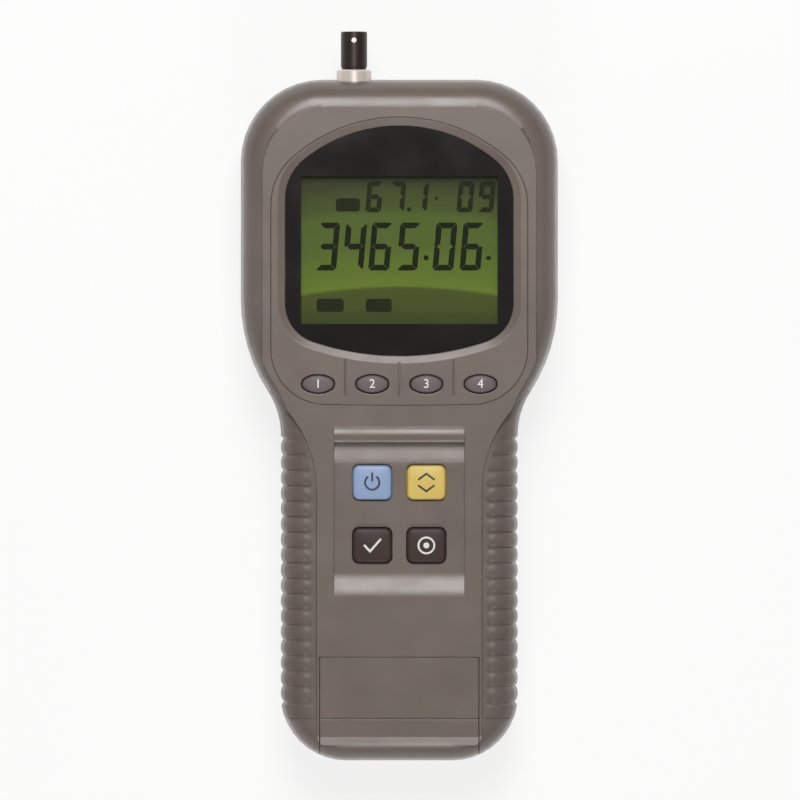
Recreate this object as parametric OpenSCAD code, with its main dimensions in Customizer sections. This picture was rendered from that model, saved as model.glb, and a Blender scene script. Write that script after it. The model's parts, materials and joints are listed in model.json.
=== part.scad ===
// Handheld cable length meter (time domain reflectometer).
// It lies on its back: +Z comes out of the display, +Y points to the cable socket.
// The origin is on the flat back, under the middle of the case. Millimetres.

/* [Case] */
// Length of the case, without the cable socket
body_len = 250; // [246:1:258]
// Width across the display head
head_w = 116.4; // [114:0.2:122]
// Width across the hand grip
grip_w = 87; // [85:0.5:91]
// Height of the front face above the rest face
face_z = 45; // [44:0.5:50]
// Height of the joint between the two shells
part_z = 16; // [15:0.5:17]
// Wall thickness of the shells
wall = 3; // [2.7:0.1:3.2]
// Corner radius at the head end
head_r = 30; // [27:0.5:33]
// Corner radius at the foot end
foot_r = 24; // [22:0.5:26]
// Radius of the shoulder, where the head starts to narrow
shoulder_r = 62; // [56:1:68]
// Radius of the waist, where the grip begins
waist_r = 29.5; // [26:0.5:33]
// Distance from the head end to the start of the grip
head_len = 130.5; // [128:0.5:133]
// Radius of the rounded front edge
edge_r = 9.5; // [9:0.1:10]
// Radius of the rounded back edge
back_edge_r = 9; // [8:0.1:9.5]
// How far each side wall leans in towards its rounded edge
draft = 1; // [0.6:0.1:1.2]
// Width of the flange inside the joint
flange_w = 6.5; // [6.2:0.1:7]
// Height of the flange in each shell
flange_h = 3.5; // [3:0.1:4]
// Width of the sealing cord in the joint
seal_w = 1.4; // [1.2:0.1:1.6]
// Depth of the cord groove in each shell
seal_groove = 0.9; // [0.7:0.1:1.1]

/* [Face] */
// Height of the raised face above the rounded edge
face_step = 0.5; // [0.4:0.1:0.7]
// Margin between the face and the side of the head
face_side_margin = 8.1; // [7.6:0.1:8.6]
// Margin between the face and the head end
face_top_margin = 10.4; // [10:0.1:11]
// Margin between the face and the side of the grip
face_grip_margin = 13.3; // [13:0.1:13.8]
// Corner radius of the face at the head end
face_head_r = 24; // [21:0.5:27]
// Radius of the face outline at the shoulder
face_shoulder_r = 24; // [22:0.5:27]
// Radius of the face outline at the waist
face_waist_r = 45; // [42:1:48]
// How far the face outline starts to widen below the start of the grip
face_waist_drop = 20.2; // [18:0.2:22]

/* [Display] */
// Width of the display bezel
bezel_w = 93.8; // [92:0.2:95]
// Distance from the head end to the bezel
bezel_top_gap = 14.3; // [13.8:0.1:14.8]
// Length of the bezel
bezel_len = 105.2; // [104:0.2:107]
// Radius of the bezel's top arch
bezel_arch_r = 59; // [57:1:64]
// Corner radius beside the top arch
bezel_shoulder_r = 23; // [20:0.5:25]
// Corner radius at the bottom of the bezel
bezel_foot_r = 20; // [17:0.5:22]
// How far the bezel stands above the face
bezel_proud = 0.4; // [0.2:0.1:0.7]
// Width of the display window
window_w = 83.3; // [82:0.1:84]
// Length of the display window
window_len = 84; // [82:0.5:85]
// Distance from the head end to the window
window_top_gap = 17.4; // [17.2:0.1:18]
// Radius of the window's top arch
window_arch_r = 55; // [53:1:58]
// Corner radius beside the top arch
window_shoulder_r = 18.3; // [17:0.1:20]
// Radius of the window's bottom edge
window_sill_r = 99; // [90:1:110]
// Corner radius at the bottom of the window
window_foot_r = 14.7; // [13:0.1:16]
// Thickness of the window
window_t = 1.2; // [1:0.1:1.4]
// Thickness of the mounting tape
tape_t = 0.3; // [0.2:0.05:0.4]
// How far the window lies below the bezel
window_drop = 1; // [0.7:0.1:1.2]
// Width of the sloping rim round the window
rim_w = 2.8; // [2.2:0.1:3]
// Visible width of the liquid crystal display
view_w = 72; // [70:0.5:73]
// Visible height of the liquid crystal display
view_h = 54; // [52:0.5:55]
// Distance from the head end to the middle of the display
view_mid = 62.8; // [62:0.1:63.6]
// Thickness of the display glass
glass_t = 2.2; // [1.8:0.1:2.4]

/* [Keys] */
// Distance between neighbouring soft keys and between the two key columns
key_pitch = 19.8; // [19.4:0.1:20.4]
// Length of a soft key
soft_l = 11.7; // [11:0.1:12.4]
// Width of a soft key
soft_w = 6.5; // [6:0.1:7]
// Distance from the window to the middle of the soft keys
soft_drop = 10.4; // [10:0.1:10.8]
// How far a soft key stands above the bezel
soft_proud = 0.8; // [0.6:0.1:1.2]
// Width of a main key
key_w = 14; // [13.4:0.1:14.6]
// Height of a main key, along the case
key_l = 12.6; // [12:0.1:13.2]
// Distance between the two rows of main keys
row_pitch = 23; // [22:0.1:24]
// How far a main key stands above the key field
key_proud = 2.2; // [1.9:0.1:2.6]
// Clearance round a key
key_gap = 0.4; // [0.3:0.05:0.5]
// Width of the sunken key field
pad_w = 47.8; // [46:0.2:50]
// Length of the flat floor of the key field
pad_len = 47; // [46:0.5:49]
// Depth of the key field
pad_depth = 1.6; // [1.3:0.1:1.8]
// Height of the ridge above the key field
ridge_h = 0.9; // [0.6:0.1:1.1]
// Width of the ridge above the key field
ridge_w = 6; // [5:0.1:7]

/* [Grips] */
// Thickness of a rubber grip
grip_t = 2; // [1.8:0.05:2.1]
// Distance between neighbouring ribs
rib_pitch = 5.65; // [5.4:0.05:5.7]
// Number of ribs on each grip
rib_count = 17; // [12:1:17]
// Width of the groove between two ribs
groove_w = 2.4; // [1.8:0.1:3]
// Depth of the grooves
groove_h = 0.7; // [0.5:0.05:0.9]
// Distance from the foot end to the end of the grip
grip_end = 15.8; // [15:0.1:17]

/* [Battery] */
// Width of the battery door
door_w = 58; // [57:0.5:58.6]
// Length of the battery door
door_len = 38.2; // [38:0.1:39]
// Height of the lower edge of the door's end wall
door_low_z = 22; // [21:0.5:24]
// Clearance round the battery door
door_gap = 0.25; // [0.2:0.05:0.4]
// Width of the line across the door
door_line_w = 0.7; // [0.5:0.1:1]
// Depth of that line
door_line_h = 0.4; // [0.3:0.05:0.6]
// Length of the battery's case, across the meter
cell_w = 46.4; // [45:0.2:47]
// Width of the battery, along the meter
cell_l = 26.5; // [26:0.1:26.8]
// Thickness of the battery
cell_t = 17.5; // [16.5:0.1:17.6]

/* [Cable socket] */
// Distance of the socket from the middle, to the left
socket_x = 16.6; // [15:0.1:18]
// Height of the socket's axis above the back
socket_z = 27; // [26.4:0.1:27.6]
// Diameter of the bayonet barrel
barrel_d = 9.65; // [9.6:0.01:9.7]
// Length of the bayonet barrel
barrel_l = 14; // [13:0.1:15]
// Diameter of the socket's collar
collar_d = 12.7; // [12.2:0.1:13.2]
// Length of the collar
collar_l = 4.8; // [4:0.1:5.4]
// Distance across the two bayonet lugs
lug_span = 11; // [10.8:0.05:11.1]
// Diameter of a bayonet lug
lug_d = 2; // [1.9:0.05:2.1]
// Inner diameter of the barrel
barrel_bore_d = 8.12; // [8.1:0.01:8.2]
// Diameter of the hole in the centre contact
contact_bore_d = 1.38; // [1.35:0.01:1.42]

/* [Hidden] */
$fn = 96;

// Places along the case
top_y = body_len / 2;
foot_y = -body_len / 2;
waist_y = top_y - head_len;
window_top_y = top_y - window_top_gap;
window_foot_y = window_top_y - window_len;
bezel_top_y = top_y - bezel_top_gap;
bezel_foot_y = bezel_top_y - bezel_len;
view_y = top_y - view_mid;
soft_y = window_foot_y - soft_drop;
ridge_drop = 11;
ridge_y = bezel_foot_y - ridge_drop;
pad_top_y = ridge_y - ridge_w / 2;
pad_foot_y = pad_top_y - pad_len;
ramp_l = 9.5;
row_drop = 14.3;
row_1_y = pad_top_y - row_drop;
row_2_y = row_1_y - row_pitch;
rib_drop = 4.4;
first_rib_y = waist_y - rib_drop;
grip_end_y = foot_y + grip_end;
door_top_y = foot_y + door_len;

// Heights
flank_z = face_z - face_step;
plate_z = flank_z - wall;
bezel_top_z = face_z + bezel_proud;
window_top_z = bezel_top_z - window_drop;
bezel_floor_z = window_top_z - window_t - tape_t;
pad_z = face_z - pad_depth;
seat_gap = 0.2;
flange_t = 1.2;
dome_h = 2.8;
mat_t = 1.2;
key_flange_z = plate_z - seat_gap - flange_t;
mat_z = key_flange_z - dome_h;
board_z = mat_z - mat_t;
board_t = 1.6;
board_low_z = board_z - board_t;
soft_top_z = bezel_top_z + soft_proud;
key_top_z = pad_z + key_proud;

// Shell section: the centre of each edge rounding, and where the flat plates begin
front_cx = draft + edge_r;
front_cz = flank_z - edge_r;
back_cx = draft + back_edge_r;
seal_shift = 0.3;
seal_in = (grip_t + flange_w) / 2 + seal_shift;

// An outline is [head half width, grip half width, top, foot, head radius, foot radius,
// waist place, shoulder radius, waist radius]
function case_line(d) = [
  head_w / 2 - d, grip_w / 2 - d, top_y - d, foot_y + d, head_r - d, foot_r - d,
  waist_y, shoulder_r - d, waist_r + d
];
face_foot_margin = 6;
face_foot_r = 3;
function face_line(d) = [
  head_w / 2 - face_side_margin - d, grip_w / 2 - face_grip_margin - d,
  top_y - face_top_margin - d, foot_y + face_foot_margin + d, face_head_r - d, face_foot_r,
  waist_y - face_waist_drop, face_shoulder_r - d, face_waist_r + d
];
function waist_angle(o) = acos(1 - (o[0] - o[1]) / (o[7] + o[8]));
function waist_end(o) = let(a = waist_angle(o)) [o[1] + o[8] * (1 - cos(a)), o[6] + o[8] * sin(a)];
function shoulder_y(o) = o[6] + (o[7] + o[8]) * sin(waist_angle(o));

// Plan view of an outline, filled
module region(o) {
  sy = shoulder_y(o);
  turn = waist_end(o);
  lap = 1;
  for (side = [0, 1]) mirror([side, 0]) {
    translate([0, sy]) square([o[0], o[2] - o[4] - sy]);
    translate([0, sy]) square([o[0] - o[4], o[2] - sy]);
    translate([o[0] - o[4], o[2] - o[4]]) circle(o[4]);
    intersection() {
      translate([o[0] - o[7], sy]) circle(o[7]);
      translate([0, turn[1]]) square([o[0], sy - turn[1] + lap]);
    }
    difference() {
      translate([0, o[6]]) square([turn[0], turn[1] - o[6]]);
      translate([o[1] + o[8], o[6]]) circle(o[8]);
    }
    translate([0, o[3] + o[5]]) square([o[1], o[6] - o[3] - o[5] + lap]);
    translate([0, o[3]]) square([o[1] - o[5], o[6] - o[3]]);
    translate([o[1] - o[5], o[3] + o[5]]) circle(o[5]);
  }
}

// The same outline as points, from the foot round the right side to the head and back
corner_steps = 10;
bend_steps = 6;
function arc(c, r, from, to, n) =
  [for (i = [0 : n]) let(a = from + (to - from) * i / n) c + r * [cos(a), sin(a)]];
function waist_arc(o) =
  arc([o[1] + o[8], o[6]], o[8], 180, 180 - waist_angle(o), bend_steps);
function right_side(o) = concat(
  arc([o[1] - o[5], o[3] + o[5]], o[5], -90, 0, corner_steps),
  [for (i = [0 : bend_steps - 1]) waist_arc(o)[i]],
  arc([o[0] - o[7], shoulder_y(o)], o[7], -waist_angle(o), 0, bend_steps),
  arc([o[0] - o[4], o[2] - o[4]], o[4], 0, 90, corner_steps)
);
function outline(o) = let(right = right_side(o), n = len(right))
  concat(right, [for (i = [n - 1 : -1 : 0]) [-right[i][0], right[i][1]]]);

// A closed skin through rings of points, where points k and n - 1 - k lie across from each other
module skin(rings) {
  n = len(rings[0]);
  high = (len(rings) - 1) * n;
  caps = [for (k = [0 : n / 2 - 2]) let(m = n - 1 - k)
    each [[k, k + 1, m - 1, m], [high + m, high + m - 1, high + k + 1, high + k]]];
  walls = [for (i = [0 : len(rings) - 2], k = [0 : n - 1]) let(m = (k + 1) % n, b = i * n)
    each [[b + k, b + n + k, b + n + m], [b + k, b + n + m, b + m]]];
  polyhedron([for (r = rings) each r], concat(caps, walls));
}

// The case outline at each step, a step being [distance in, height]
module loft(steps) {
  skin([for (st = steps) [for (p = outline(case_line(st[0]))) [p[0], p[1], st[1]]]]);
}

// Steps up the front shell and down the rear shell, at a depth d under the outer surface
round_steps = 8;
function front_steps(d, base) = concat(
  [[d, base], [d + draft, front_cz]],
  [for (i = [1 : round_steps]) let(a = 90 * i / round_steps)
    [front_cx - (edge_r - d) * cos(a), front_cz + (edge_r - d) * sin(a)]]
);
function back_steps(d, base, turn = 90) = concat(
  [for (i = [round_steps : -1 : 1]) let(a = turn * i / round_steps)
    [back_cx - (back_edge_r - d) * cos(a), back_edge_r - (back_edge_r - d) * sin(a)]],
  [[d + draft, back_edge_r], [d, base]]
);

// Hollows of the two shells, drawn in to leave a flange along the joint
function front_hollow() = concat(
  [[flange_w, part_z - wall], [flange_w, part_z + flange_h]],
  [[wall + draft * flange_h / (front_cz - part_z), part_z + flange_h]],
  [for (i = [1 : round_steps + 1]) front_steps(wall, part_z)[i]]
);
function back_hollow() = concat(
  [for (i = [0 : round_steps]) back_steps(wall, part_z)[i]],
  [[wall + draft * flange_h / (part_z - back_edge_r), part_z - flange_h]],
  [[flange_w, part_z - flange_h], [flange_w, part_z + wall]]
);

// A band along the joint, w wide and reaching h above and below it
module band(w, h) {
  translate([0, 0, part_z - h]) linear_extrude(2 * h) difference() {
    region(case_line(seal_in - w / 2));
    region(case_line(seal_in + w / 2));
  }
}

seal_play = 0.1;
module seal_slot() {
  band(seal_w + 2 * seal_play, seal_groove);
}

// Shape of the window and the bezel: a top arch, straight sides and a slightly curved sill.
// It is [half width, top, foot, arch radius, shoulder radius, sill radius, foot radius].
window_shape = [
  window_w / 2, window_top_y, window_foot_y, window_arch_r, window_shoulder_r,
  window_sill_r, window_foot_r
];
bezel_sill_r = 1200;
bezel_play = 0.15;
bezel_shape = [
  bezel_w / 2, bezel_top_y, bezel_foot_y, bezel_arch_r, bezel_shoulder_r,
  bezel_sill_r, bezel_foot_r
];
function arch_y(s) = s[1] - s[3];
function sill_y(s) = s[2] + s[5];
function high_y(s) = arch_y(s) + sqrt(pow(s[3] - s[4], 2) - pow(s[0] - s[4], 2));
function low_y(s) = sill_y(s) - sqrt(pow(s[5] - s[6], 2) - pow(s[0] - s[6], 2));

// The shape as a plate from z0 to z1, grown by d
module screen_plate(s, z0, z1, d) {
  h = z1 - z0;
  over = 1;
  far = 3;
  reach = far * s[0];
  high = [(s[0] - s[4]) * far, (high_y(s) - arch_y(s)) * far];
  low = [(s[0] - s[6]) * far, (low_y(s) - sill_y(s)) * far];
  translate([0, 0, z0]) {
    translate([-s[0] - d, low_y(s), 0]) cube([2 * (s[0] + d), high_y(s) - low_y(s), h]);
    translate([0, arch_y(s), 0]) intersection() {
      cylinder(r = s[3] + d, h = h);
      translate([0, 0, -over]) linear_extrude(h + 2 * over)
        polygon([[0, 0], high, [-high[0], high[1]]]);
    }
    intersection() {
      translate([0, sill_y(s), 0]) cylinder(r = s[5] + d, h = h);
      translate([0, sill_y(s), -over]) linear_extrude(h + 2 * over)
        polygon([[0, 0], low, [-low[0], low[1]]]);
      translate([-reach, s[2] - reach, -over])
        cube([2 * reach, low_y(s) - s[2] + reach, h + 2 * over]);
    }
    for (side = [-1, 1]) {
      translate([side * (s[0] - s[4]), high_y(s), 0]) cylinder(r = s[4] + d, h = h);
      translate([side * (s[0] - s[6]), low_y(s), 0]) cylinder(r = s[6] + d, h = h);
    }
  }
}

// The edge of the shape as points, grown by d: up the right side and down the left
sill_steps = 12;
function screen_side(s, d) =
  let(
    high_a = atan((s[0] - s[4]) / (high_y(s) - arch_y(s))),
    low_a = atan((s[0] - s[6]) / (sill_y(s) - low_y(s))),
    middle = 1 / sill_steps
  )
  concat(
    arc([0, sill_y(s)], s[5] + d, low_a * middle - 90, low_a - 90, sill_steps),
    arc([s[0] - s[6], low_y(s)], s[6] + d, low_a - 90 + low_a * middle, 0, corner_steps),
    arc([s[0] - s[4], high_y(s)], s[4] + d, 0, 90 - high_a, corner_steps),
    arc([0, arch_y(s)], s[3] + d, 90 - high_a * (1 - middle), 90 - high_a * middle, sill_steps)
  );
function screen_line(s, d) = let(right = screen_side(s, d), n = len(right))
  concat(right, [for (i = [n - 1 : -1 : 0]) [-right[i][0], right[i][1]]]);

// A skin along the edge of the shape at each step, a step being [distance out, height]
module screen_loft(s, steps) {
  skin([for (st = steps) [for (p = screen_line(s, st[0])) [p[0], p[1], st[1]]]]);
}

module round_rect(w, l, r) {
  square([w, l - 2 * r], center = true);
  square([w - 2 * r, l], center = true);
  for (x = [-1, 1], y = [-1, 1]) translate([x * (w / 2 - r), y * (l / 2 - r)]) circle(r);
}

module block(w, l, z0, z1, r) {
  translate([0, 0, z0]) linear_extrude(z1 - z0) round_rect(w, l, r);
}

// Oval of four arcs, l long and w wide, with ends of radius r
module oval(l, w, r) {
  e = l / 2 - r;
  c = (e * e - pow(w / 2 - r, 2)) / (2 * (w / 2 - r));
  big = c + w / 2;
  touch = e * big / (big - r);
  intersection() {
    translate([0, -c]) circle(big);
    translate([0, c]) circle(big);
    square([2 * touch, 2 * w], center = true);
  }
  for (side = [-1, 1]) translate([side * e, 0]) circle(r);
}

// A round wire through the given points, none of its runs along X
wire_sides = 8;
function unit(v) = v / norm(v);
function wire_way(points, i) = unit(
  (i > 0 ? unit(points[i] - points[i - 1]) : [0, 0, 0])
  + (i < len(points) - 1 ? unit(points[i + 1] - points[i]) : [0, 0, 0])
);
function wire_ring(p, way, r) = let(u = unit(cross([1, 0, 0], way)), v = cross(way, u))
  [for (k = [0 : wire_sides - 1]) let(a = 360 * k / wire_sides) p + r * (cos(a) * u + sin(a) * v)];
module wire(points, r) {
  n = len(points);
  rings = [for (i = [0 : n - 1]) each wire_ring(points[i], wire_way(points, i), r)];
  first = [for (k = [0 : wire_sides - 1]) k];
  last = [for (k = [wire_sides - 1 : -1 : 0]) (n - 1) * wire_sides + k];
  walls = [for (i = [0 : n - 2], k = [0 : wire_sides - 1])
    let(m = (k + 1) % wire_sides, b = i * wire_sides, t = b + wire_sides)
      each [[b + k, t + k, t + m], [b + k, t + m, b + m]]];
  polyhedron(rings, concat([first], walls, [last]));
}

// Screws that hold the shells together
case_boss_r = 4;
case_pilot_r = 1.25;
case_hole_r = 1.7;
case_head_r = 2.7;
case_head_h = 2;
case_well_r = 3;
case_well_h = 5;
case_thread = 11;
case_screw_at = [
  [head_w / 2 - 15.5, top_y - 22.5],
  [head_w / 2 - 11.7, shoulder_y(case_line(0)) - 16],
  [grip_w / 2 - 11, door_top_y + 10.8]
];
module at_case_screws() {
  for (p = case_screw_at, side = [-1, 1]) translate([side * p[0], p[1], 0]) children();
}

// Screws that hold the board under the front shell
board_boss_r = 3;
board_pilot_r = 1.05;
board_hole_r = 1.3;
board_head_r = 2.2;
board_head_h = 1.5;
board_thread = 4;
board_grip = 3.5;
board_half_head = 41;
board_half_top = 35;
board_half_grip = 28;
board_top_y = top_y - 17;
board_step_y = top_y - 31;
board_waist_y = waist_y + 12.5;
board_foot_y = door_top_y + 7;
board_screw_at = [
  [board_half_top - 4.5, board_top_y - 7],
  [board_half_head - 3.5, soft_y + 11],
  [board_half_grip - 3.5, board_foot_y + 7]
];
module at_board_screws() {
  for (p = board_screw_at, side = [-1, 1]) translate([side * p[0], p[1], 0]) children();
}

// Keys: place along X and Y of each
soft_at = [for (i = [-1.5, -0.5, 0.5, 1.5]) [i * key_pitch, soft_y]];
key_at = [
  [-key_pitch / 2, row_1_y], [key_pitch / 2, row_1_y],
  [-key_pitch / 2, row_2_y], [key_pitch / 2, row_2_y]
];
soft_end_r = 2.3;
key_corner_r = 2.2;

// The door's tongue goes under the front plate, and its sides rest on two ledges
tongue_w = 36;
tongue_l = 4;
tongue_t = 1.4;
tongue_gap = 0.2;
tongue_z = plate_z - tongue_gap - tongue_t;
door_ledge_l = 22;
door_ledge_t = 1.5;
door_ledge_in = 2;
door_ledge_w = 2.25;
door_ledge_z = plate_z - tongue_gap - door_ledge_t;

// The rounded ridge along the top of the key field
ridge_r = (ridge_w * ridge_w / 4 + ridge_h * ridge_h) / (2 * ridge_h);
module ridge() {
  sink = 1;
  intersection() {
    translate([0, ridge_y, face_z + ridge_h - ridge_r]) rotate([0, 90, 0])
      cylinder(r = ridge_r, h = pad_w, center = true);
    translate([-pad_w, ridge_y - ridge_w, face_z - sink])
      cube([2 * pad_w, 2 * ridge_w, 2 * sink + ridge_h]);
  }
}

// What is cut off the raised face at the foot, so that it falls to the rounded edge
face_fall_l = 9.2;
face_fall_a = 28;
module face_fall() {
  over = 1;
  break_y = foot_y + face_fall_l;
  translate([-head_w / 2, 0, 0]) rotate([90, 0, 90]) linear_extrude(head_w) polygon([
    [break_y, face_z], [break_y, face_z + over], [foot_y, face_z + over],
    [foot_y, face_z - face_fall_l * tan(face_fall_a)]
  ]);
}

// The front shell, with its raised face and no openings
module front_body() {
  sink = 1.2;
  face_in = 7.5;
  neck_in = 3.5;
  neck_sink = 3.6;
  lap = 0.1;
  difference() {
    loft(front_steps(0, part_z));
    loft(front_hollow());
  }
  difference() {
    union() {
      translate([0, 0, flank_z - sink]) linear_extrude(face_step + sink) intersection() {
        polygon(outline(face_line(0)));
        region(case_line(face_in));
      }
      translate([0, 0, flank_z - neck_sink]) linear_extrude(face_step + neck_sink) difference() {
        intersection() {
          polygon(outline(face_line(0)));
          region(case_line(neck_in));
        }
        region(case_line(face_in + lap));
      }
    }
    face_fall();
  }
}

// The space that the battery door closes, grown by a clearance on every side
module door_space(gap) {
  reach = 2 * wall;
  translate([-door_w / 2 - gap, foot_y - reach, door_low_z - gap])
    cube([door_w + 2 * gap, door_len + reach + gap, face_z]);
}

// Section of a grip between two depths, wrapped from the back edge to a distance in on the face
grip_far = 20;
grip_back_turn = 65;
function grip_path(d, far, turn) = concat(
  back_steps(d, part_z, turn),
  [for (i = [1 : round_steps + 1]) front_steps(d, part_z)[i]],
  [[far, flank_z - d]]
);
function backwards(v) = [for (i = [len(v) - 1 : -1 : 0]) v[i]];
function grip_section(d0, d1, far, turn) =
  concat(grip_path(d1, far, turn), backwards(grip_path(d0, far, turn)));

// Stations along the right grip, each [place on the outline, direction inwards]
function grip_stations(o) = concat(
  [for (i = [0 : corner_steps]) let(a = 90 * i / corner_steps - 90, way = [cos(a), sin(a)])
    [[o[1] - o[5], o[3] + o[5]] + o[5] * way, -way]],
  [for (i = [0 : bend_steps]) let(a = 180 - waist_angle(o) * i / bend_steps, way = [cos(a), sin(a)])
    [[o[1] + o[8], o[6]] + o[8] * way, way]]
);

// A grip between two depths, cut off along the edge of the face and across the foot.
// side is 1 for the right grip and -1 for the left.
module grip_shape(side, d0, d1, gap, turn) {
  over = 3;
  section = grip_section(d0, d1, grip_far, turn);
  rings = [for (st = grip_stations(case_line(0)))
    [for (q = section) let(p = st[0] + q[0] * st[1]) [side * p[0], p[1], q[1]]]];
  intersection() {
    skin(side > 0 ? rings : [for (r = rings) backwards(r)]);
    translate([0, 0, -over]) linear_extrude(face_z + 2 * over) difference() {
      translate([side > 0 ? 0 : -head_w, grip_end_y - gap]) square([head_w, body_len]);
      polygon(outline(face_line(-gap)));
    }
  }
}

grip_gap = 0.1;
grip_lip_play = 1;
module grip_pockets() {
  outside = 1;
  for (side = [-1, 1])
    grip_shape(side, -outside, grip_t + grip_gap, 0, grip_back_turn + grip_lip_play);
}

module grip(side) {
  outside = 1;
  groove_end = 2.5;
  groove_back = 15;
  groove_far = face_grip_margin - groove_end;
  groove_turn = grip_back_turn - groove_back;
  section = grip_section(-outside, groove_h, groove_far, groove_turn);
  difference() {
    grip_shape(side, 0, grip_t, grip_gap, grip_back_turn);
    for (i = [0 : rib_count])
      translate([0, first_rib_y + (0.5 - i) * rib_pitch + groove_w / 2, 0])
        rotate([90, 0, 0]) linear_extrude(groove_w)
          polygon([for (q = section) [side * (grip_w / 2 - q[0]), q[1]]]);
  }
}

// Cable socket
seat_drop = 1.4;
seat_y = top_y - seat_drop;
seat_play = 0.6;
seat_r = collar_d / 2 + seat_play;
shank_r = 4.75;
shank_play = 0.15;
shank_l = 9.5;
tail_l = 6;
module at_socket() {
  translate([-socket_x, seat_y, socket_z]) rotate([-90, 0, 0]) children();
}

// Ledges of the front shell under the sides of the door
module door_ledges() {
  bite = 0.7;
  for (side = [0, 1]) mirror([side, 0, 0])
    translate([door_w / 2, door_top_y - door_ledge_l, door_ledge_z]) {
      translate([-door_ledge_in, 0, 0])
        cube([door_ledge_in + door_gap + door_ledge_w, door_ledge_l, door_ledge_t]);
      translate([door_gap, 0, 0])
        cube([door_ledge_w, door_ledge_l, door_ledge_t + tongue_gap + bite]);
    }
}

// The opening over the display, in the front shell and in the tape
module view_opening() {
  margin = 1;
  corner = 2;
  over = 1;
  translate([0, view_y, 0])
    block(view_w + 2 * margin, view_h + 2 * margin, plate_z - over, face_z, corner);
}

// A rise between two points that starts and ends level
ease_steps = 8;
function eased(p, q) = [for (i = [0 : ease_steps]) let(u = i / ease_steps)
  [p[0] + (q[0] - p[0]) * u, p[1] + (q[1] - p[1]) * u * u * (3 - 2 * u)]];

module front_case() {
  over = 1;
  floor_rise = 0.8;
  rise_l = 8;
  color("#736a64") {
    door_ledges();
    difference() {
      union() {
        front_body();
        ridge();
        at_case_screws() translate([0, 0, part_z])
          cylinder(r = case_boss_r, h = plate_z - part_z + over);
        at_board_screws() translate([0, 0, board_z])
          cylinder(r = board_boss_r, h = plate_z - board_z + over);
      }
      seal_slot();
      door_space(door_gap);
      grip_pockets();
      screen_plate(bezel_shape, bezel_floor_z, face_z + over, bezel_play);
      view_opening();
      for (p = soft_at) translate([p[0], p[1], plate_z - over]) linear_extrude(face_z)
        oval(soft_l + 2 * key_gap, soft_w + 2 * key_gap, soft_end_r + key_gap);
      for (p = key_at) translate([p[0], p[1], 0])
        block(key_w + 2 * key_gap, key_l + 2 * key_gap, plate_z - over, face_z + over,
          key_corner_r + key_gap);
      translate([-pad_w / 2, 0, 0]) rotate([90, 0, 90]) linear_extrude(pad_w) polygon(concat(
        [[pad_top_y, face_z + over + ridge_h]],
        eased([pad_top_y, pad_z - floor_rise], [pad_top_y - rise_l, pad_z]),
        eased([pad_foot_y, pad_z], [pad_foot_y - ramp_l, face_z]),
        [[pad_foot_y - ramp_l, face_z + over + ridge_h]]
      ));
      at_case_screws() translate([0, 0, part_z - over])
        cylinder(r = case_pilot_r, h = case_thread + 2 * over);
      at_board_screws() translate([0, 0, board_z - over])
        cylinder(r = board_pilot_r, h = board_thread + over);
      at_socket() {
        cylinder(r = seat_r, h = 2 * seat_drop);
        translate([0, 0, -2 * wall]) cylinder(r = shank_r + shank_play, h = 3 * wall);
      }
    }
  }
}

// Posts in the rear shell that carry the battery tray
tray_t = 1.5;
tray_play = 0.5;
cell_room = 1.9;
cell_play = 0.1;
tray_floor_z = plate_z - cell_room - cell_t - cell_play;
snap_room = 8;
tray_w = cell_w + snap_room;
tray_l = cell_l + 2 * tray_play;
tray_drop = 2.4;
tray_top_y = door_top_y - tray_drop;
tray_mid_y = tray_top_y - tray_l / 2;
tray_wall_h = 8;
post_r = 3;
post_in = 6;
post_at = [tray_w / 2 - post_in, tray_l / 2 - post_in];
module rear_case() {
  over = 1;
  color("#6c635e") difference() {
    union() {
      difference() {
        loft(back_steps(0, part_z));
        loft(back_hollow());
      }
      at_case_screws() translate([0, 0, wall - over])
        cylinder(r = case_boss_r, h = part_z - wall + over);
      for (x = [-1, 1], y = [-1, 1])
        translate([x * post_at[0], tray_mid_y + y * post_at[1], wall - over])
          cylinder(r = post_r, h = tray_floor_z - tray_t - wall + over);
    }
    seal_slot();
    grip_pockets();
    at_case_screws() {
      translate([0, 0, -over]) cylinder(r = case_well_r, h = case_well_h + over);
      cylinder(r = case_hole_r, h = part_z + over);
    }
  }
}

module case_seal() {
  color("#2a2a2a") band(seal_w, seal_groove - seal_play);
}

module right_grip() {
  color("#5f5651") grip(1);
}

module left_grip() {
  color("#5f5651") grip(-1);
}

// A screw with its head down and a cross recess in the head
module screw(head_r, head_h, r, l) {
  slot_w = head_r / 3;
  slot_l = head_r * 1.2;
  difference() {
    union() {
      translate([0, 0, -head_h]) cylinder(r = head_r, h = head_h);
      cylinder(r = r, h = l);
    }
    for (a = [0, 90]) rotate([0, 0, a])
      translate([0, 0, -head_h]) cube([slot_l, slot_w, head_h], center = true);
  }
}

thread_play = 0.05;
module case_screws() {
  color("silver") at_case_screws() translate([0, 0, case_well_h])
    screw(case_head_r, case_head_h, case_pilot_r - thread_play, part_z - case_well_h + case_thread);
}

module display_bezel() {
  over = 1;
  line_w = 0.5;
  line_h = 0.35;
  line_end = 3.4;
  window_play = 0.15;
  rim_run = rim_w - window_play;
  spare = 0.4;
  color("#7b726a") difference() {
    screen_plate(bezel_shape, bezel_floor_z, bezel_top_z, 0);
    screen_loft(window_shape, [
      [window_play, bezel_floor_z - over], [window_play, window_top_z],
      [rim_w + spare * rim_run, bezel_top_z + spare * window_drop]
    ]);
    for (p = soft_at) translate([p[0], p[1], bezel_floor_z - over]) linear_extrude(face_z)
      oval(soft_l + 2 * key_gap, soft_w + 2 * key_gap, soft_end_r + key_gap);
    for (i = [-1, 0, 1])
      translate([i * key_pitch - line_w / 2, bezel_foot_y + line_end, bezel_top_z - line_h])
        cube([line_w, window_foot_y - bezel_foot_y - line_end - rim_w / 2, line_h + over]);
  }
}

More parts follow.
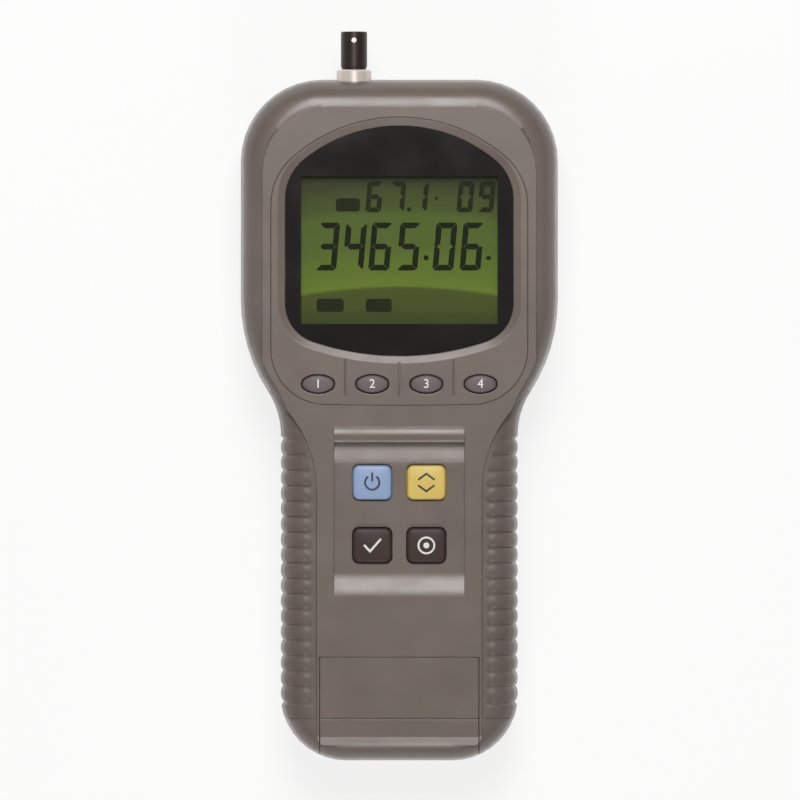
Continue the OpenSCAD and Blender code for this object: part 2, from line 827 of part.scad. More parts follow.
module window_tape() {
  color("#202020") difference() {
    screen_plate(window_shape, bezel_floor_z, bezel_floor_z + tape_t, -tape_t);
    view_opening();
  }
}

module display_window() {
  color("#2b2927") screen_plate(window_shape, bezel_floor_z + tape_t, window_top_z, 0);
}

// The display module: glass in a frame on the board, lit from behind
glass_gap = 0.3;
glass_top_z = plate_z - glass_gap;
glass_low_z = glass_top_z - glass_t;
glass_margin = 1;
glass_end = 2;
glass_r = 0.4;
glass_w = view_w + 2 * glass_margin;
glass_l = view_h + 2 * glass_end;
glass_ledge = 2.5;
frame_t = 1.5;
frame_r = 1;
frame_play = 0.15;
guide_play = 0.1;
module lcd_glass() {
  color("#61753a") translate([0, view_y, 0]) {
    block(glass_w, glass_l, glass_low_z, glass_low_z + glass_t / 2, glass_r);
    block(glass_w, glass_l - glass_ledge, glass_low_z + glass_t / 2, glass_top_z, glass_r);
  }
}

module lcd_frame() {
  over = 1;
  inner_w = glass_w + 2 * frame_play;
  inner_l = glass_l + 2 * frame_play;
  color("#d8d8d4") translate([0, view_y, 0]) difference() {
    block(inner_w + 2 * frame_t, inner_l + 2 * frame_t, board_z, glass_top_z, frame_r);
    block(inner_w, inner_l, board_z - over, plate_z, glass_r);
  }
}

guide_in = 1;
guide_w = view_w - 2 * guide_in;
guide_l = view_h - 2 * guide_in;
module light_guide() {
  color("#eef2e6") translate([0, view_y, 0])
    block(guide_w, guide_l, board_z + guide_play, glass_low_z - guide_play, glass_r);
}

led_pitch = 16;
led_size = [1.2, 3.2, 1.4];
module backlight_leds() {
  color("#f4f0c8") for (i = [-1, 0, 1])
    translate([guide_w / 2 + guide_play, view_y + i * led_pitch - led_size[1] / 2, board_z])
      cube(led_size);
}

strip_w = 2;
module contact_strips() {
  color("#444444") for (side = [-1, 1])
    translate([0, view_y + side * (glass_l / 2 - strip_w / 2), 0])
      block(guide_w, strip_w, board_z, glass_low_z, glass_r);
}

// Keys: a stem through the face, and a wider foot that rests on its dome
soft_crown = 18;
module soft_key(i) {
  foot = 0.8;
  step = key_gap + foot;
  color("#6a6160") translate([soft_at[i][0], soft_at[i][1], 0]) {
    intersection() {
      translate([0, 0, key_flange_z]) linear_extrude(soft_top_z - key_flange_z)
        oval(soft_l, soft_w, soft_end_r);
      translate([0, 0, soft_top_z - soft_crown]) sphere(soft_crown);
    }
    translate([0, 0, key_flange_z]) linear_extrude(flange_t)
      oval(soft_l + 2 * step, soft_w + 2 * step, soft_end_r + step);
  }
}

module soft_key_1() { soft_key(0); }
module soft_key_2() { soft_key(1); }
module soft_key_3() { soft_key(2); }
module soft_key_4() { soft_key(3); }

key_crown = 70;
module main_key(i, tint) {
  foot = 1;
  step = key_gap + foot;
  color(tint) translate([key_at[i][0], key_at[i][1], 0]) {
    intersection() {
      block(key_w, key_l, key_flange_z, key_top_z, key_corner_r);
      translate([0, 0, key_top_z - key_crown]) sphere(key_crown);
    }
    block(key_w + 2 * step, key_l + 2 * step, key_flange_z, key_flange_z + flange_t,
      key_corner_r + step);
  }
}

module power_key() { main_key(0, "#a2b3d5"); }
module edit_key() { main_key(1, "#d8c277"); }
module select_key() { main_key(2, "#433a38"); }
module test_key() { main_key(3, "#433a38"); }

// Silicone domes that push the keys back up
dome_play = 0.05;
dome_skin = 0.5;
dome_taper = 0.62;
module dome(p, r) {
  h = dome_h - dome_play;
  top_r = r * dome_taper;
  color("#d9d4c8") translate([p[0], p[1], mat_z]) difference() {
    cylinder(r1 = r, r2 = top_r, h = h);
    translate([0, 0, -dome_skin])
      cylinder(r1 = r - dome_skin / 2, r2 = top_r - dome_skin, h = h);
  }
}

soft_dome_r = 3.4;
key_dome_r = 4.8;
module soft_dome_1() { dome(soft_at[0], soft_dome_r); }
module soft_dome_2() { dome(soft_at[1], soft_dome_r); }
module soft_dome_3() { dome(soft_at[2], soft_dome_r); }
module soft_dome_4() { dome(soft_at[3], soft_dome_r); }
module power_dome() { dome(key_at[0], key_dome_r); }
module edit_dome() { dome(key_at[1], key_dome_r); }
module select_dome() { dome(key_at[2], key_dome_r); }
module test_dome() { dome(key_at[3], key_dome_r); }

mat_r = 2;
module soft_key_mat() {
  margin = 2.5;
  run = (len(soft_at) - 1) * key_pitch;
  color("#b9b4aa") translate([0, soft_y, 0])
    block(run + soft_l + 2 * margin, soft_w + 2 * margin, board_z, mat_z, mat_r);
}

module main_key_mat() {
  margin = 4;
  color("#b9b4aa") translate([0, (row_1_y + row_2_y) / 2, 0])
    block(key_pitch + key_w + 2 * margin, row_pitch + key_l + 2 * margin, board_z, mat_z, mat_r);
}

module main_board() {
  color("#2f6b45") translate([0, 0, board_low_z]) linear_extrude(board_t) difference() {
    union() {
      translate([-board_half_top, board_waist_y])
        square([2 * board_half_top, board_top_y - board_waist_y]);
      translate([-board_half_head, board_waist_y])
        square([2 * board_half_head, board_step_y - board_waist_y]);
      translate([-board_half_grip, board_foot_y])
        square([2 * board_half_grip, board_top_y - board_foot_y]);
    }
    at_board_screws() circle(board_hole_r);
  }
}

module board_screws() {
  color("silver") at_board_screws() translate([0, 0, board_low_z])
    screw(board_head_r, board_head_h, board_pilot_r - thread_play, board_t + board_grip);
}

// Chips under the board: place, width, length and height of each
chips = [
  [0, view_y, 14, 14, 1.6],
  [-socket_x, board_top_y - 20, 10, 8, 1.8],
  [16, board_top_y - 24, 8, 12, 2],
  [-18, row_1_y, 12, 8, 1.8],
  [14, row_2_y, 9, 6, 1.5],
  [-12, board_foot_y + 12, 10, 10, 3]
];
chip_r = 0.3;
module board_chips() {
  color("#1d1d1f") for (c = chips) translate([c[0], c[1], 0])
    block(c[2], c[3], board_low_z - c[4], board_low_z, chip_r);
}

// Cable socket: its axis is local Z, and its front rim is at the end of the barrel
rim_z = collar_l + barrel_l;
bore_l = 8.4;
nose_l = 3.4;
nose_r = 2.37;
core_r = 3.2;
lug_back = 3.2;
contact_r = 1.1;
contact_bore_l = 5.2;
core_play = 0.05;
module socket_body() {
  chamfer = 0.5;
  color("#4a423e") at_socket() difference() {
    union() {
      cylinder(r = collar_d / 2, h = collar_l - chamfer);
      translate([0, 0, collar_l - chamfer])
        cylinder(r1 = collar_d / 2, r2 = collar_d / 2 - chamfer, h = chamfer);
      cylinder(r = barrel_d / 2, h = rim_z);
      translate([0, 0, -shank_l]) cylinder(r = shank_r, h = shank_l + 1);
      translate([0, 0, rim_z - lug_back]) rotate([90, 0, 0])
        cylinder(d = lug_d, h = lug_span, center = true);
    }
    translate([0, 0, rim_z - bore_l]) cylinder(d = barrel_bore_d, h = bore_l + 1);
    translate([0, 0, -shank_l - 1]) cylinder(r = core_r + core_play, h = shank_l + rim_z);
  }
}

module socket_insulator() {
  color("#f2f0ea") at_socket() difference() {
    union() {
      translate([0, 0, -shank_l]) cylinder(r = core_r, h = shank_l + rim_z - bore_l);
      cylinder(r = nose_r, h = rim_z - nose_l);
    }
    translate([0, 0, -shank_l - 1]) cylinder(r = contact_r + core_play, h = shank_l + rim_z);
  }
}

module socket_contact() {
  front = rim_z - nose_l - 2 * core_play;
  color("#c9a24a") at_socket() difference() {
    translate([0, 0, -shank_l - tail_l]) cylinder(r = contact_r, h = shank_l + tail_l + front);
    translate([0, 0, front - contact_bore_l]) cylinder(d = contact_bore_d, h = contact_bore_l + 1);
  }
}

// Inner face of the wall behind the socket, and the parts that clamp the socket to it
socket_wall = wall + draft * (socket_z - part_z) / (front_cz - part_z) - seat_drop;
washer_t = 0.8;
nut_t = 3;
clamp_gap = 0.45;
nut_across = 14;
module socket_washer() {
  color("silver") at_socket() translate([0, 0, -socket_wall - clamp_gap - washer_t]) difference() {
    cylinder(r = nut_across / 2, h = washer_t);
    translate([0, 0, -1]) cylinder(r = shank_r + shank_play, h = washer_t + 2);
  }
}

module socket_nut() {
  color("silver") at_socket() translate([0, 0, -socket_wall - clamp_gap - washer_t - nut_t])
    difference() {
      cylinder(d = nut_across / cos(30), h = nut_t, $fn = 6);
      translate([0, 0, -1]) cylinder(r = shank_r + core_play, h = nut_t + 2);
    }
}

socket_lead_r = 0.7;
module socket_lead() {
  run = 4;
  rise = 3;
  start = seat_y - shank_l - tail_l;
  color("#c23b2e") wire([
    [-socket_x, start, socket_z], [-socket_x, start - run, socket_z],
    [-socket_x, start - 2 * run, board_low_z - rise], [-socket_x, start - 2 * run, board_low_z]
  ], socket_lead_r);
}

// Battery and its tray
cell_z = tray_floor_z + cell_play;
cell_x = -tray_w / 2 + tray_play;
cell_mid = cell_x + cell_w / 2;
stud_h = 2.1;
stud_r = 2.9;
stud_pitch = 12.7;
snap_t = 3;
module battery_tray() {
  notch_w = 8;
  outer_r = 2;
  color("#4c4643") translate([0, tray_mid_y, 0]) difference() {
    block(tray_w + 2 * tray_t, tray_l + 2 * tray_t, tray_floor_z - tray_t,
      tray_floor_z + tray_wall_h, outer_r);
    block(tray_w, tray_l, tray_floor_z, face_z, outer_r / 2);
    translate([tray_w / 2 - notch_w, 0, tray_floor_z + tray_wall_h / 2])
      cube([notch_w, tray_l, tray_wall_h]);
  }
}

module battery() {
  edge = 1.5;
  color("#b8863b") translate([cell_mid, tray_mid_y, 0])
    block(cell_w, cell_l, cell_z, cell_z + cell_t, edge);
}

module battery_studs() {
  color("silver") for (side = [-1, 1])
    translate([cell_x + cell_w, tray_mid_y + side * stud_pitch / 2, cell_z + cell_t / 2])
      rotate([0, 90, 0]) cylinder(r = stud_r, h = stud_h);
}

snap_x = cell_x + cell_w + stud_h;
module battery_snap() {
  inset = 1;
  color("#1c1c1e") translate([snap_x, tray_mid_y - cell_l / 2, cell_z + inset])
    cube([snap_t, cell_l, cell_t - 2 * inset]);
}

battery_lead_r = 0.6;
battery_lead_pitch = 3;
module battery_leads() {
  drop = 6;
  run = 5;
  climb = 12;
  rise = 3;
  mid_x = snap_x + snap_t / 2;
  start = tray_mid_y + cell_l / 2;
  high = cell_z + cell_t - drop;
  color("#a83228") for (i = [0, 1]) {
    low = high - i * battery_lead_pitch;
    x = mid_x - i * battery_lead_pitch;
    wire([
      [mid_x, start, low], [mid_x, start + run, low],
      [x, start + climb, board_low_z - rise], [x, start + climb, board_low_z]
    ], battery_lead_r);
  }
}

pad_t = 1.6;
pad_r = 2;
module battery_door() {
  bite = 0.5;
  color("#756c65") {
    difference() {
      intersection() {
        front_body();
        door_space(0);
      }
      translate([-door_w, grip_end_y - door_line_w / 2, face_z - door_line_h])
        cube([2 * door_w, door_line_w, 2 * door_line_h]);
    }
    translate([-tongue_w / 2, door_top_y - tongue_l, tongue_z]) {
      cube([tongue_w, tongue_l - bite, tongue_t + tongue_gap + bite]);
      cube([tongue_w, 2 * tongue_l, tongue_t]);
    }
  }
}

module door_pad() {
  color("#3a3a3c") translate([cell_mid, tray_mid_y, 0])
    block(cell_w / 2, cell_l / 2, plate_z - pad_t, plate_z, pad_r);
}

front_case();
rear_case();
case_seal();
left_grip();
right_grip();
case_screws();
display_bezel();
window_tape();
display_window();
lcd_glass();
lcd_frame();
light_guide();
backlight_leds();
contact_strips();
soft_key_1();
soft_key_2();
soft_key_3();
soft_key_4();
power_key();
edit_key();
select_key();
test_key();
soft_dome_1();
soft_dome_2();
soft_dome_3();
soft_dome_4();
power_dome();
edit_dome();
select_dome();
test_dome();
soft_key_mat();
main_key_mat();
main_board();
board_chips();
board_screws();
socket_body();
socket_insulator();
socket_contact();
socket_washer();
socket_nut();
socket_lead();
battery_tray();
battery();
battery_studs();
battery_snap();
battery_leads();
battery_door();
door_pad();
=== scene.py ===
"""Looks of the handheld cable length meter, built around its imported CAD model.

Lengths are in millimetres, in the CAD frame: +Z comes out of the display and +Y points to the
cable socket. They are turned into metres where a mesh is made. Where a length is in metres, a
comment says so.
"""
import json
import math
from collections import namedtuple

import bmesh
import bpy
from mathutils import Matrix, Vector


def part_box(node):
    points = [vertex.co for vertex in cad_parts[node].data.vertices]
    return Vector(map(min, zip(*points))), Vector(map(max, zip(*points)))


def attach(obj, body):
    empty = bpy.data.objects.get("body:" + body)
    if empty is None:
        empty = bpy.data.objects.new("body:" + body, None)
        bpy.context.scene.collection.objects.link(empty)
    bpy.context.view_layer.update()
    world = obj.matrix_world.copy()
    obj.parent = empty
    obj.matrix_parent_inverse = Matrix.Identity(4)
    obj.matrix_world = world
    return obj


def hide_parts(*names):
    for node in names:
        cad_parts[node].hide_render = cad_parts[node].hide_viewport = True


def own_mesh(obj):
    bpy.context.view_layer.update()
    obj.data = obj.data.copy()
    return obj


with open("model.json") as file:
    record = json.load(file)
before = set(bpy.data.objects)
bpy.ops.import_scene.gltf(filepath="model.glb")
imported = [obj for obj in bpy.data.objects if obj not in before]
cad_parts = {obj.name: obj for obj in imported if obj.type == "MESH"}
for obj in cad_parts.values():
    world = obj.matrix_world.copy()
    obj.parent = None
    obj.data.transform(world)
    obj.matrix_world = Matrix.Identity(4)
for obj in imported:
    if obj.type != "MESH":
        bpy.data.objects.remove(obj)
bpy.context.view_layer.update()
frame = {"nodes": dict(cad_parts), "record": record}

MM = 0.001
NODES = frame["nodes"]
SLOT_OF = {sub["node"]: sub["material_slot"] for sub in frame["record"]["subparts"]}

# Sizes repeated from the CAD source
TOP_Y, FOOT_Y = 125.0, -125.0
PART_Z, FLANK_Z = 16.0, 44.5
EDGE_R, BACK_R, DRAFT = 9.5, 9.0, 1.0
FRONT_CX, FRONT_CZ, BACK_CX = 10.5, 35.0, 10.0
KEY_PITCH, ROW_1, ROW_2, SOFT_Y = 19.8, -22.8, -45.8, 13.2
KEY_W, KEY_L, KEY_R, KEY_CROWN = 14.0, 12.6, 2.2, 70.0
SOFT_L, SOFT_W, SOFT_R = 11.7, 6.5, 2.3
KEY_FOOT_Z, KEY_TOP_Z, SOFT_TOP_Z, FLANGE_T = 40.1, 45.6, 46.2, 1.2
VIEW_Y, VIEW_W, VIEW_H, GLASS_Z = 62.2, 72.0, 54.0, 41.2
SOCKET_X, SOCKET_Z, SEAT_Y, COLLAR_Y, RIM_Y = -16.6, 27.0, 123.6, 128.4, 142.4
BORE_L, LUG_BACK = 8.4, 3.2
FIRST_RIB_Y, RIB_PITCH, RIB_COUNT = -9.9, 5.65, 17
GRIP_END_Y, GRIP_GAP, GRIP_BACK_TURN = -109.2, 0.1, 65.0

Outline = namedtuple("Outline", "head grip top foot head_r foot_r waist shoulder_r waist_r")
CASE = Outline(head=58.2, grip=43.5, top=TOP_Y, foot=FOOT_Y, head_r=30.0, foot_r=24.0,
               waist=-5.5, shoulder_r=62.0, waist_r=29.5)
FACE = Outline(head=50.1, grip=30.2, top=114.6, foot=-119.0, head_r=24.0, foot_r=3.0,
               waist=-25.7, shoulder_r=24.0, waist_r=45.0)


# Materials: depths and edge radii are in metres, and noise scales are per metre

NOISE_LOW, NOISE_HIGH = 0.3, 0.7
BEVEL_SAMPLES = 6
MOTTLE_SCALE, MOTTLE_START, MOTTLE_END = 38.0, 0.25, 0.75
GLOSS_SCALE, GLOSS_SPREAD = 90.0, 0.05
LINE_SCALE, LINE_DARK, LINE_LIGHT = 6.0, 0.86, 1.08
LINE_GLOSS, LINE_DULL = 0.06, 0.08
CLEAR_ALPHA = 0.10
BAND_START, BAND_END = 0.60, 0.62

# The painted shadow over the lower part of the display ends in an arc of this radius
LCD_SHADOW_ARC_R = 209.0

# Colours of the display, from its foot at 0 to its top at 1, with painted shade: a painted shadow below the
# arc, and painted shade that darkens it towards its top
LCD_GREEN_AND_PAINTED_SHADE = [(0.0, "#505d2c"), (0.235, "#545f26"), (0.265, "#738d32"), (0.40, "#6a832f"),
             (0.56, "#607530"), (0.72, "#5e7331"), (0.82, "#515f2c"), (1.0, "#42472b")]


def linear(code):
    """A web colour as linear red, green, blue and alpha."""
    out = []
    for k in (1, 3, 5):
        c = int(code[k:k + 2], 16) / 255
        out.append(c / 12.92 if c <= 0.04045 else ((c + 0.055) / 1.055) ** 2.4)
    return (*out, 1.0)


def shade(color, factor):
    """A linear colour made darker or lighter."""
    return (*[min(1.0, c * factor) for c in color[:3]], 1.0)


class Shader:
    """A material's node tree, with short calls for the nodes that the finishes share."""

    def __init__(self, name, **sockets):
        self.mat = bpy.data.materials.new(name)
        self.mat.use_nodes = True
        self.tree = self.mat.node_tree
        self.bsdf = self.tree.nodes["Principled BSDF"]
        self.coords = self.add("ShaderNodeTexCoord").outputs["Object"]
        for key, value in sockets.items():
            self.bsdf.inputs[key.replace("_", " ")].default_value = value

    def add(self, kind, inputs=None, **values):
        """A new node with its properties and its plain inputs set."""
        node = self.tree.nodes.new(kind)
        for key, value in values.items():
            setattr(node, key, value)
        for key, value in (inputs or {}).items():
            node.inputs[key].default_value = value
        return node

    def link(self, a, b):
        self.tree.links.new(a, b)

    def feed(self, socket, output):
        """Links an output to an input of the surface shader."""
        self.link(output, self.bsdf.inputs[socket])

    def axes(self):
        """Outputs X, Y and Z of the object's coordinates."""
        node = self.add("ShaderNodeSeparateXYZ")
        self.link(self.coords, node.inputs["Vector"])
        return node.outputs

    def math(self, operation, *values):
        """An arithmetic node over outputs and plain numbers."""
        node = self.add("ShaderNodeMath", operation=operation)
        for socket, value in zip(node.inputs, values):
            if isinstance(value, float):
                socket.default_value = value
            else:
                self.link(value, socket)
        return node.outputs[0]

    def noise(self, scale, detail=2.0, stretch=None):
        """Noise with features about 1/scale metres wide, made finer along each axis by stretch."""
        node = self.add("ShaderNodeTexNoise", {"Scale": scale, "Detail": detail})
        place = self.coords
        if stretch:
            mapping = self.add("ShaderNodeMapping", {"Scale": stretch})
            self.link(place, mapping.inputs["Vector"])
            place = mapping.outputs["Vector"]
        self.link(place, node.inputs["Vector"])
        return node.outputs["Fac"]

    def ramp(self, source, stops):
        """Colours along a value, eased from stop to stop."""
        node = self.add("ShaderNodeValToRGB")
        node.color_ramp.interpolation = "EASE"
        ends = node.color_ramp.elements
        ends[0].position, ends[0].color = stops[0]
        ends[1].position, ends[1].color = stops[-1]
        for place, color in stops[1:-1]:
            ends.new(place).color = color
        self.link(source, node.inputs["Fac"])
        return node.outputs["Color"]

    def span(self, source, low, high, start=NOISE_LOW, end=NOISE_HIGH):
        """A value that goes from low to high while its source goes from start to end."""
        node = self.add("ShaderNodeMapRange",
                        {"From Min": start, "From Max": end, "To Min": low, "To Max": high})
        self.link(source, node.inputs["Value"])
        return node.outputs["Result"]

    def bump(self, height, strength, depth, edge=0.0):
        """Ends a material with relief of a depth, over edges that look rounded by a radius."""
        node = self.add("ShaderNodeBump", {"Strength": strength, "Distance": depth})
        self.link(height, node.inputs["Height"])
        if edge:
            bevel = self.add("ShaderNodeBevel", {"Radius": edge}, samples=BEVEL_SAMPLES)
            self.link(bevel.outputs["Normal"], node.inputs["Normal"])
        self.feed("Normal", node.outputs["Normal"])
        return self.mat


def moulded(name, code, rough, grain=2600.0, relief=0.35, depth=6e-5, edge=3e-4, mottle=0.06, **sockets):
    """Moulded plastic or rubber: spark-eroded grain, slight mottling and handled, uneven gloss."""
    s = Shader(name, **sockets)
    color = linear(code)
    tones = [(MOTTLE_START, shade(color, 1 - mottle)), (MOTTLE_END, shade(color, 1 + mottle))]
    s.feed("Base Color", s.ramp(s.noise(MOTTLE_SCALE, detail=5.0), tones))
    gloss = s.noise(GLOSS_SCALE, detail=4.0)
    s.feed("Roughness", s.span(gloss, rough - GLOSS_SPREAD, rough + GLOSS_SPREAD))
    return s.bump(s.noise(grain, detail=3.0), relief, depth, edge)


def metal(name, code, rough, stretch=(400.0, 40.0, 400.0)):
    """Bare metal with fine lines, which run along the axes of the lowest stretch."""
    s = Shader(name, Metallic=1.0)
    color = linear(code)
    lines = s.noise(LINE_SCALE, detail=4.0, stretch=stretch)
    tones = [(NOISE_LOW, shade(color, LINE_DARK)), (NOISE_HIGH, shade(color, LINE_LIGHT))]
    s.feed("Base Color", s.ramp(lines, tones))
    s.feed("Roughness", s.span(lines, rough - LINE_GLOSS, rough + LINE_DULL))
    return s.bump(lines, strength=0.15, depth=2e-5, edge=1e-4)


def printed_board(name):
    """Green solder mask over a grid of copper tracks."""
    s = Shader(name)
    colors = {"Color1": linear("#1f5a38"), "Color2": linear("#245f3c"), "Mortar": linear("#5f8a4a")}
    tracks = s.add("ShaderNodeTexBrick", {"Scale": 90.0, "Mortar Size": 0.012, **colors})
    s.link(s.coords, tracks.inputs["Vector"])
    s.feed("Base Color", tracks.outputs["Color"])
    s.feed("Roughness", s.span(s.noise(scale=120.0), low=0.3, high=0.42))
    return s.bump(tracks.outputs["Fac"], strength=0.3, depth=3e-5)


def liquid_crystal(name):
    """Green reflective display, with painted shade that darkens it towards its top and a painted shadow
    below a flat arc under the readings.
    """
    s = Shader(name, Specular_IOR_Level=0.15)
    axes = s.axes()
    # Place up the display, raised by an arc towards its sides, which sets where the painted shade and
    # shadow fall
    square = s.math("MULTIPLY", axes["X"], axes["X"])
    height = s.math("MULTIPLY_ADD", square, 1 / (2 * LCD_SHADOW_ARC_R * MM), axes["Y"])
    low, high = (VIEW_Y - VIEW_H / 2) * MM, (VIEW_Y + VIEW_H / 2) * MM
    level = s.span(height, 0.0, 1.0, start=low, end=high)
    s.feed("Base Color", s.ramp(level, [(place, linear(code)) for place, code in LCD_GREEN_AND_PAINTED_SHADE]))
    s.feed("Roughness", s.span(s.noise(scale=60.0), low=0.35, high=0.45))
    return s.bump(s.noise(scale=1800.0), strength=0.05, depth=2e-5)


def battery_wrap(name):
    """Battery jacket: dark film with a copper-coloured band towards the studs."""
    s = Shader(name, Metallic=0.55)
    low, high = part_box("battery")
    along = s.span(s.axes()["X"], 0.0, 1.0, start=low.x, end=high.x)
    dark, copper = linear("#2b2a2c"), linear("#a9743c")
    stops = [(0.0, dark), (BAND_START, dark), (BAND_END, copper), (1.0, copper)]
    s.feed("Base Color", s.ramp(along, stops))
    s.feed("Roughness", s.span(s.noise(scale=300.0, detail=3.0), low=0.28, high=0.4))
    return s.bump(s.noise(scale=1500.0), strength=0.08, depth=2e-5)


def window_glass(name):
    """Clear window with a black printed border: the clear part is let through by alpha."""
    s = Shader(name, Coat_Weight=0.6, Coat_Roughness=0.04, Specular_IOR_Level=0.5)
    axes = s.axes()
    beyond = []
    for axis, middle, half in (("X", 0.0, VIEW_W / 2), ("Y", VIEW_Y, VIEW_H / 2)):
        away = s.math("ABSOLUTE", s.math("SUBTRACT", axes[axis], middle * MM))
        beyond.append(s.math("GREATER_THAN", away, half * MM))
    border = s.math("MAXIMUM", *beyond)
    s.feed("Alpha", s.span(border, CLEAR_ALPHA, 1.0, start=0.0, end=1.0))
    tones = [(NOISE_LOW, linear("#161413")), (NOISE_HIGH, linear("#1d1a19"))]
    s.feed("Base Color", s.ramp(s.noise(scale=25.0, detail=3.0), tones))
    s.feed("Roughness", s.span(s.noise(scale=70.0), low=0.10, high=0.18))
    return s.mat


FINISH = {
    "case_plastic": moulded("case_plastic", "#6e635c", 0.33),
    "grip_rubber": moulded("grip_rubber", "#675c56", 0.38, grain=3200.0, relief=0.3, edge=2e-4),
    "bezel_plastic": moulded("bezel_plastic", "#6f645c", 0.33, edge=6e-4),
    "seal_rubber": moulded("seal_rubber", "#222222", 0.7),
    "black_foam": moulded("black_foam", "#1f1f20", 0.9, grain=1500.0, relief=0.9, depth=2e-4),
    "window_glass": window_glass("window_glass"),
    "lcd": liquid_crystal("lcd"),
    "white_plastic": moulded("white_plastic", "#e3e2dc", 0.45),
    "clear_plastic": moulded("clear_plastic", "#e6ebde", 0.2, relief=0.05, Transmission_Weight=0.4),
    "led": moulded("led", "#efeac2", 0.25, relief=0.1),
    "soft_key_rubber": moulded("soft_key_rubber", "#655b5b", 0.5, grain=3500.0, relief=0.2),
    "blue_key": moulded("blue_key", "#899dc0", 0.40, grain=3500.0, relief=0.15, edge=0.0),
    "yellow_key": moulded("yellow_key", "#d5ba60", 0.42, grain=3500.0, relief=0.15, edge=0.0),
    "dark_key": moulded("dark_key", "#3d322f", 0.45, grain=3500.0, relief=0.15, edge=0.0,
                        Specular_IOR_Level=0.25),
    "silicone": moulded("silicone", "#cfc9bd", 0.6, Subsurface_Weight=0.1),
    "board": printed_board("board"),
    "chip_plastic": moulded("chip_plastic", "#1c1c1e", 0.5, grain=4000.0),
    "black_plastic": moulded("black_plastic", "#1b1b1d", 0.4),
    "tray_plastic": moulded("tray_plastic", "#4c4643", 0.5),
    "screw_steel": metal("screw_steel", "#b8b8b8", 0.32, stretch=(60.0, 60.0, 300.0)),
    # The barrel's dark brown is a painted reflection: it stands in for the dark surroundings that its
    # plated metal mirrors
    "dark_nickel": moulded("dark_nickel", "#362b26", 0.34, grain=900.0, relief=0.1, edge=1e-4,
                           Metallic=0.3),
    "bright_nickel": moulded("bright_nickel", "#e6ddd2", 0.32, grain=900.0, relief=0.1, edge=1e-4,
                             Metallic=0.35),
    "gold_contact": metal("gold_contact", "#d0a54d", 0.25),
    "lead_skin": moulded("lead_skin", "#b5352a", 0.35, relief=0.1),
    "battery_case": battery_wrap("battery_case"),
}
PRINT = {
    "white": moulded("white_print", "#e9e6e0", 0.5, relief=0.05, edge=0.0, mottle=0.03),
    "dark": moulded("dark_print", "#3a3a44", 0.5, relief=0.05, edge=0.0, mottle=0.03),
    "segment": moulded("segment_print", "#1d2511", 0.6, relief=0.05, edge=0.0, mottle=0.05,
                       Specular_IOR_Level=0.1),
    "faint": moulded("faint_print", "#282f1a", 0.6, relief=0.05, edge=0.0, mottle=0.05,
                     Specular_IOR_Level=0.1),
}


# Meshes

def piece(name, bm, material, body, slot, *nodes, smooth=40.0):
    """A finished piece from a bmesh in millimetres, riding on a body and standing for the given nodes."""
    bmesh.ops.scale(bm, vec=(MM, MM, MM), verts=bm.verts)
    return piece_in_metres(name, bm, material, body, slot, *nodes, smooth=smooth)


def piece_in_metres(name, bm, material, body, slot, *nodes, smooth=40.0):
    """The same from a bmesh in metres. Edges that turn by more than smooth degrees stay sharp."""
    bmesh.ops.recalc_face_normals(bm, faces=bm.faces)
    mesh = bpy.data.meshes.new(name)
    bm.to_mesh(mesh)
    bm.free()
    mesh.polygons.foreach_set("use_smooth", [True] * len(mesh.polygons))
    mesh.set_sharp_from_angle(angle=math.radians(smooth))
    mesh.materials.append(material)
    obj = bpy.data.objects.new(name, mesh)
    bpy.context.scene.collection.objects.link(obj)
    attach(obj, body)
    if nodes:
        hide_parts(*nodes)
    return obj


def loop(bm, points):
    return [bm.verts.new(p) for p in points]


def bridge(bm, a, b):
    """Quads between two closed loops of the same length."""
    for k in range(len(a)):
        m = (k + 1) % len(a)
        bm.faces.new((a[k], a[m], b[m], b[k]))


def close_ends(bm, rings):
    """Faces over the first and the last of a stack of loops."""
    bm.faces.new(rings[-1])
    bm.faces.new(list(reversed(rings[0])))


def arc(cx, cy, r, start, end, n):
    """Points of an arc between two angles in degrees."""
    turns = [math.radians(start + (end - start) * k / n) for k in range(n + 1)]
    return [(cx + r * math.cos(a), cy + r * math.sin(a)) for a in turns]


def smoothstep(low, high, x):
    t = min(1.0, max(0.0, (x - low) / (high - low)))
    return t * t * (3 - 2 * t)


# Shells, bezel and door: the CAD shapes with smooth shading

# Metres: closer points are one, shorter edges go, and points this near the joint lie on it
WELD_M, SLIVER_M, ON_SEAM_M = 2e-6, 1e-6, 1e-6

# Degrees: faces that turn by less become one
FLAT_TURN = 0.2

# The joint's chamfer, and half the length of the line along Y that its outer walls face away from
SEAM_W, SEAM_AXIS = 0.3, 85.0

# Z of a face's normal: a level face has more, and an upright wall less
LEVEL_FACE, UPRIGHT_FACE = 0.9, 0.3

# A face takes the true normals if its corners lie this near the outside and it is turned their way
NEAR_SURFACE = 0.3
SAME_SIDE = math.cos(math.radians(14))


def chamfer_seam(bm):
    """Breaks the outer edge of a shell where the two shells meet, so that their joint shows as a line."""
    seam = []
    for e in bm.edges:
        if any(abs(v.co.z - PART_Z * MM) > ON_SEAM_M for v in e.verts):
            continue
        middle = (e.verts[0].co + e.verts[1].co) / 2
        axis = Vector((0, max(-SEAM_AXIS * MM, min(SEAM_AXIS * MM, middle.y)), 0))
        level = [f for f in e.link_faces if abs(f.normal.z) > LEVEL_FACE]
        walls = [f for f in e.link_faces
                 if abs(f.normal.z) < UPRIGHT_FACE and f.normal.dot(middle - axis) > 0]
        if level and walls:
            seam.append(e)
    bmesh.ops.bevel(bm, geom=seam, offset=SEAM_W * MM, offset_type="OFFSET", segments=1, affect="EDGES",
                    profile=0.5, clamp_overlap=True)


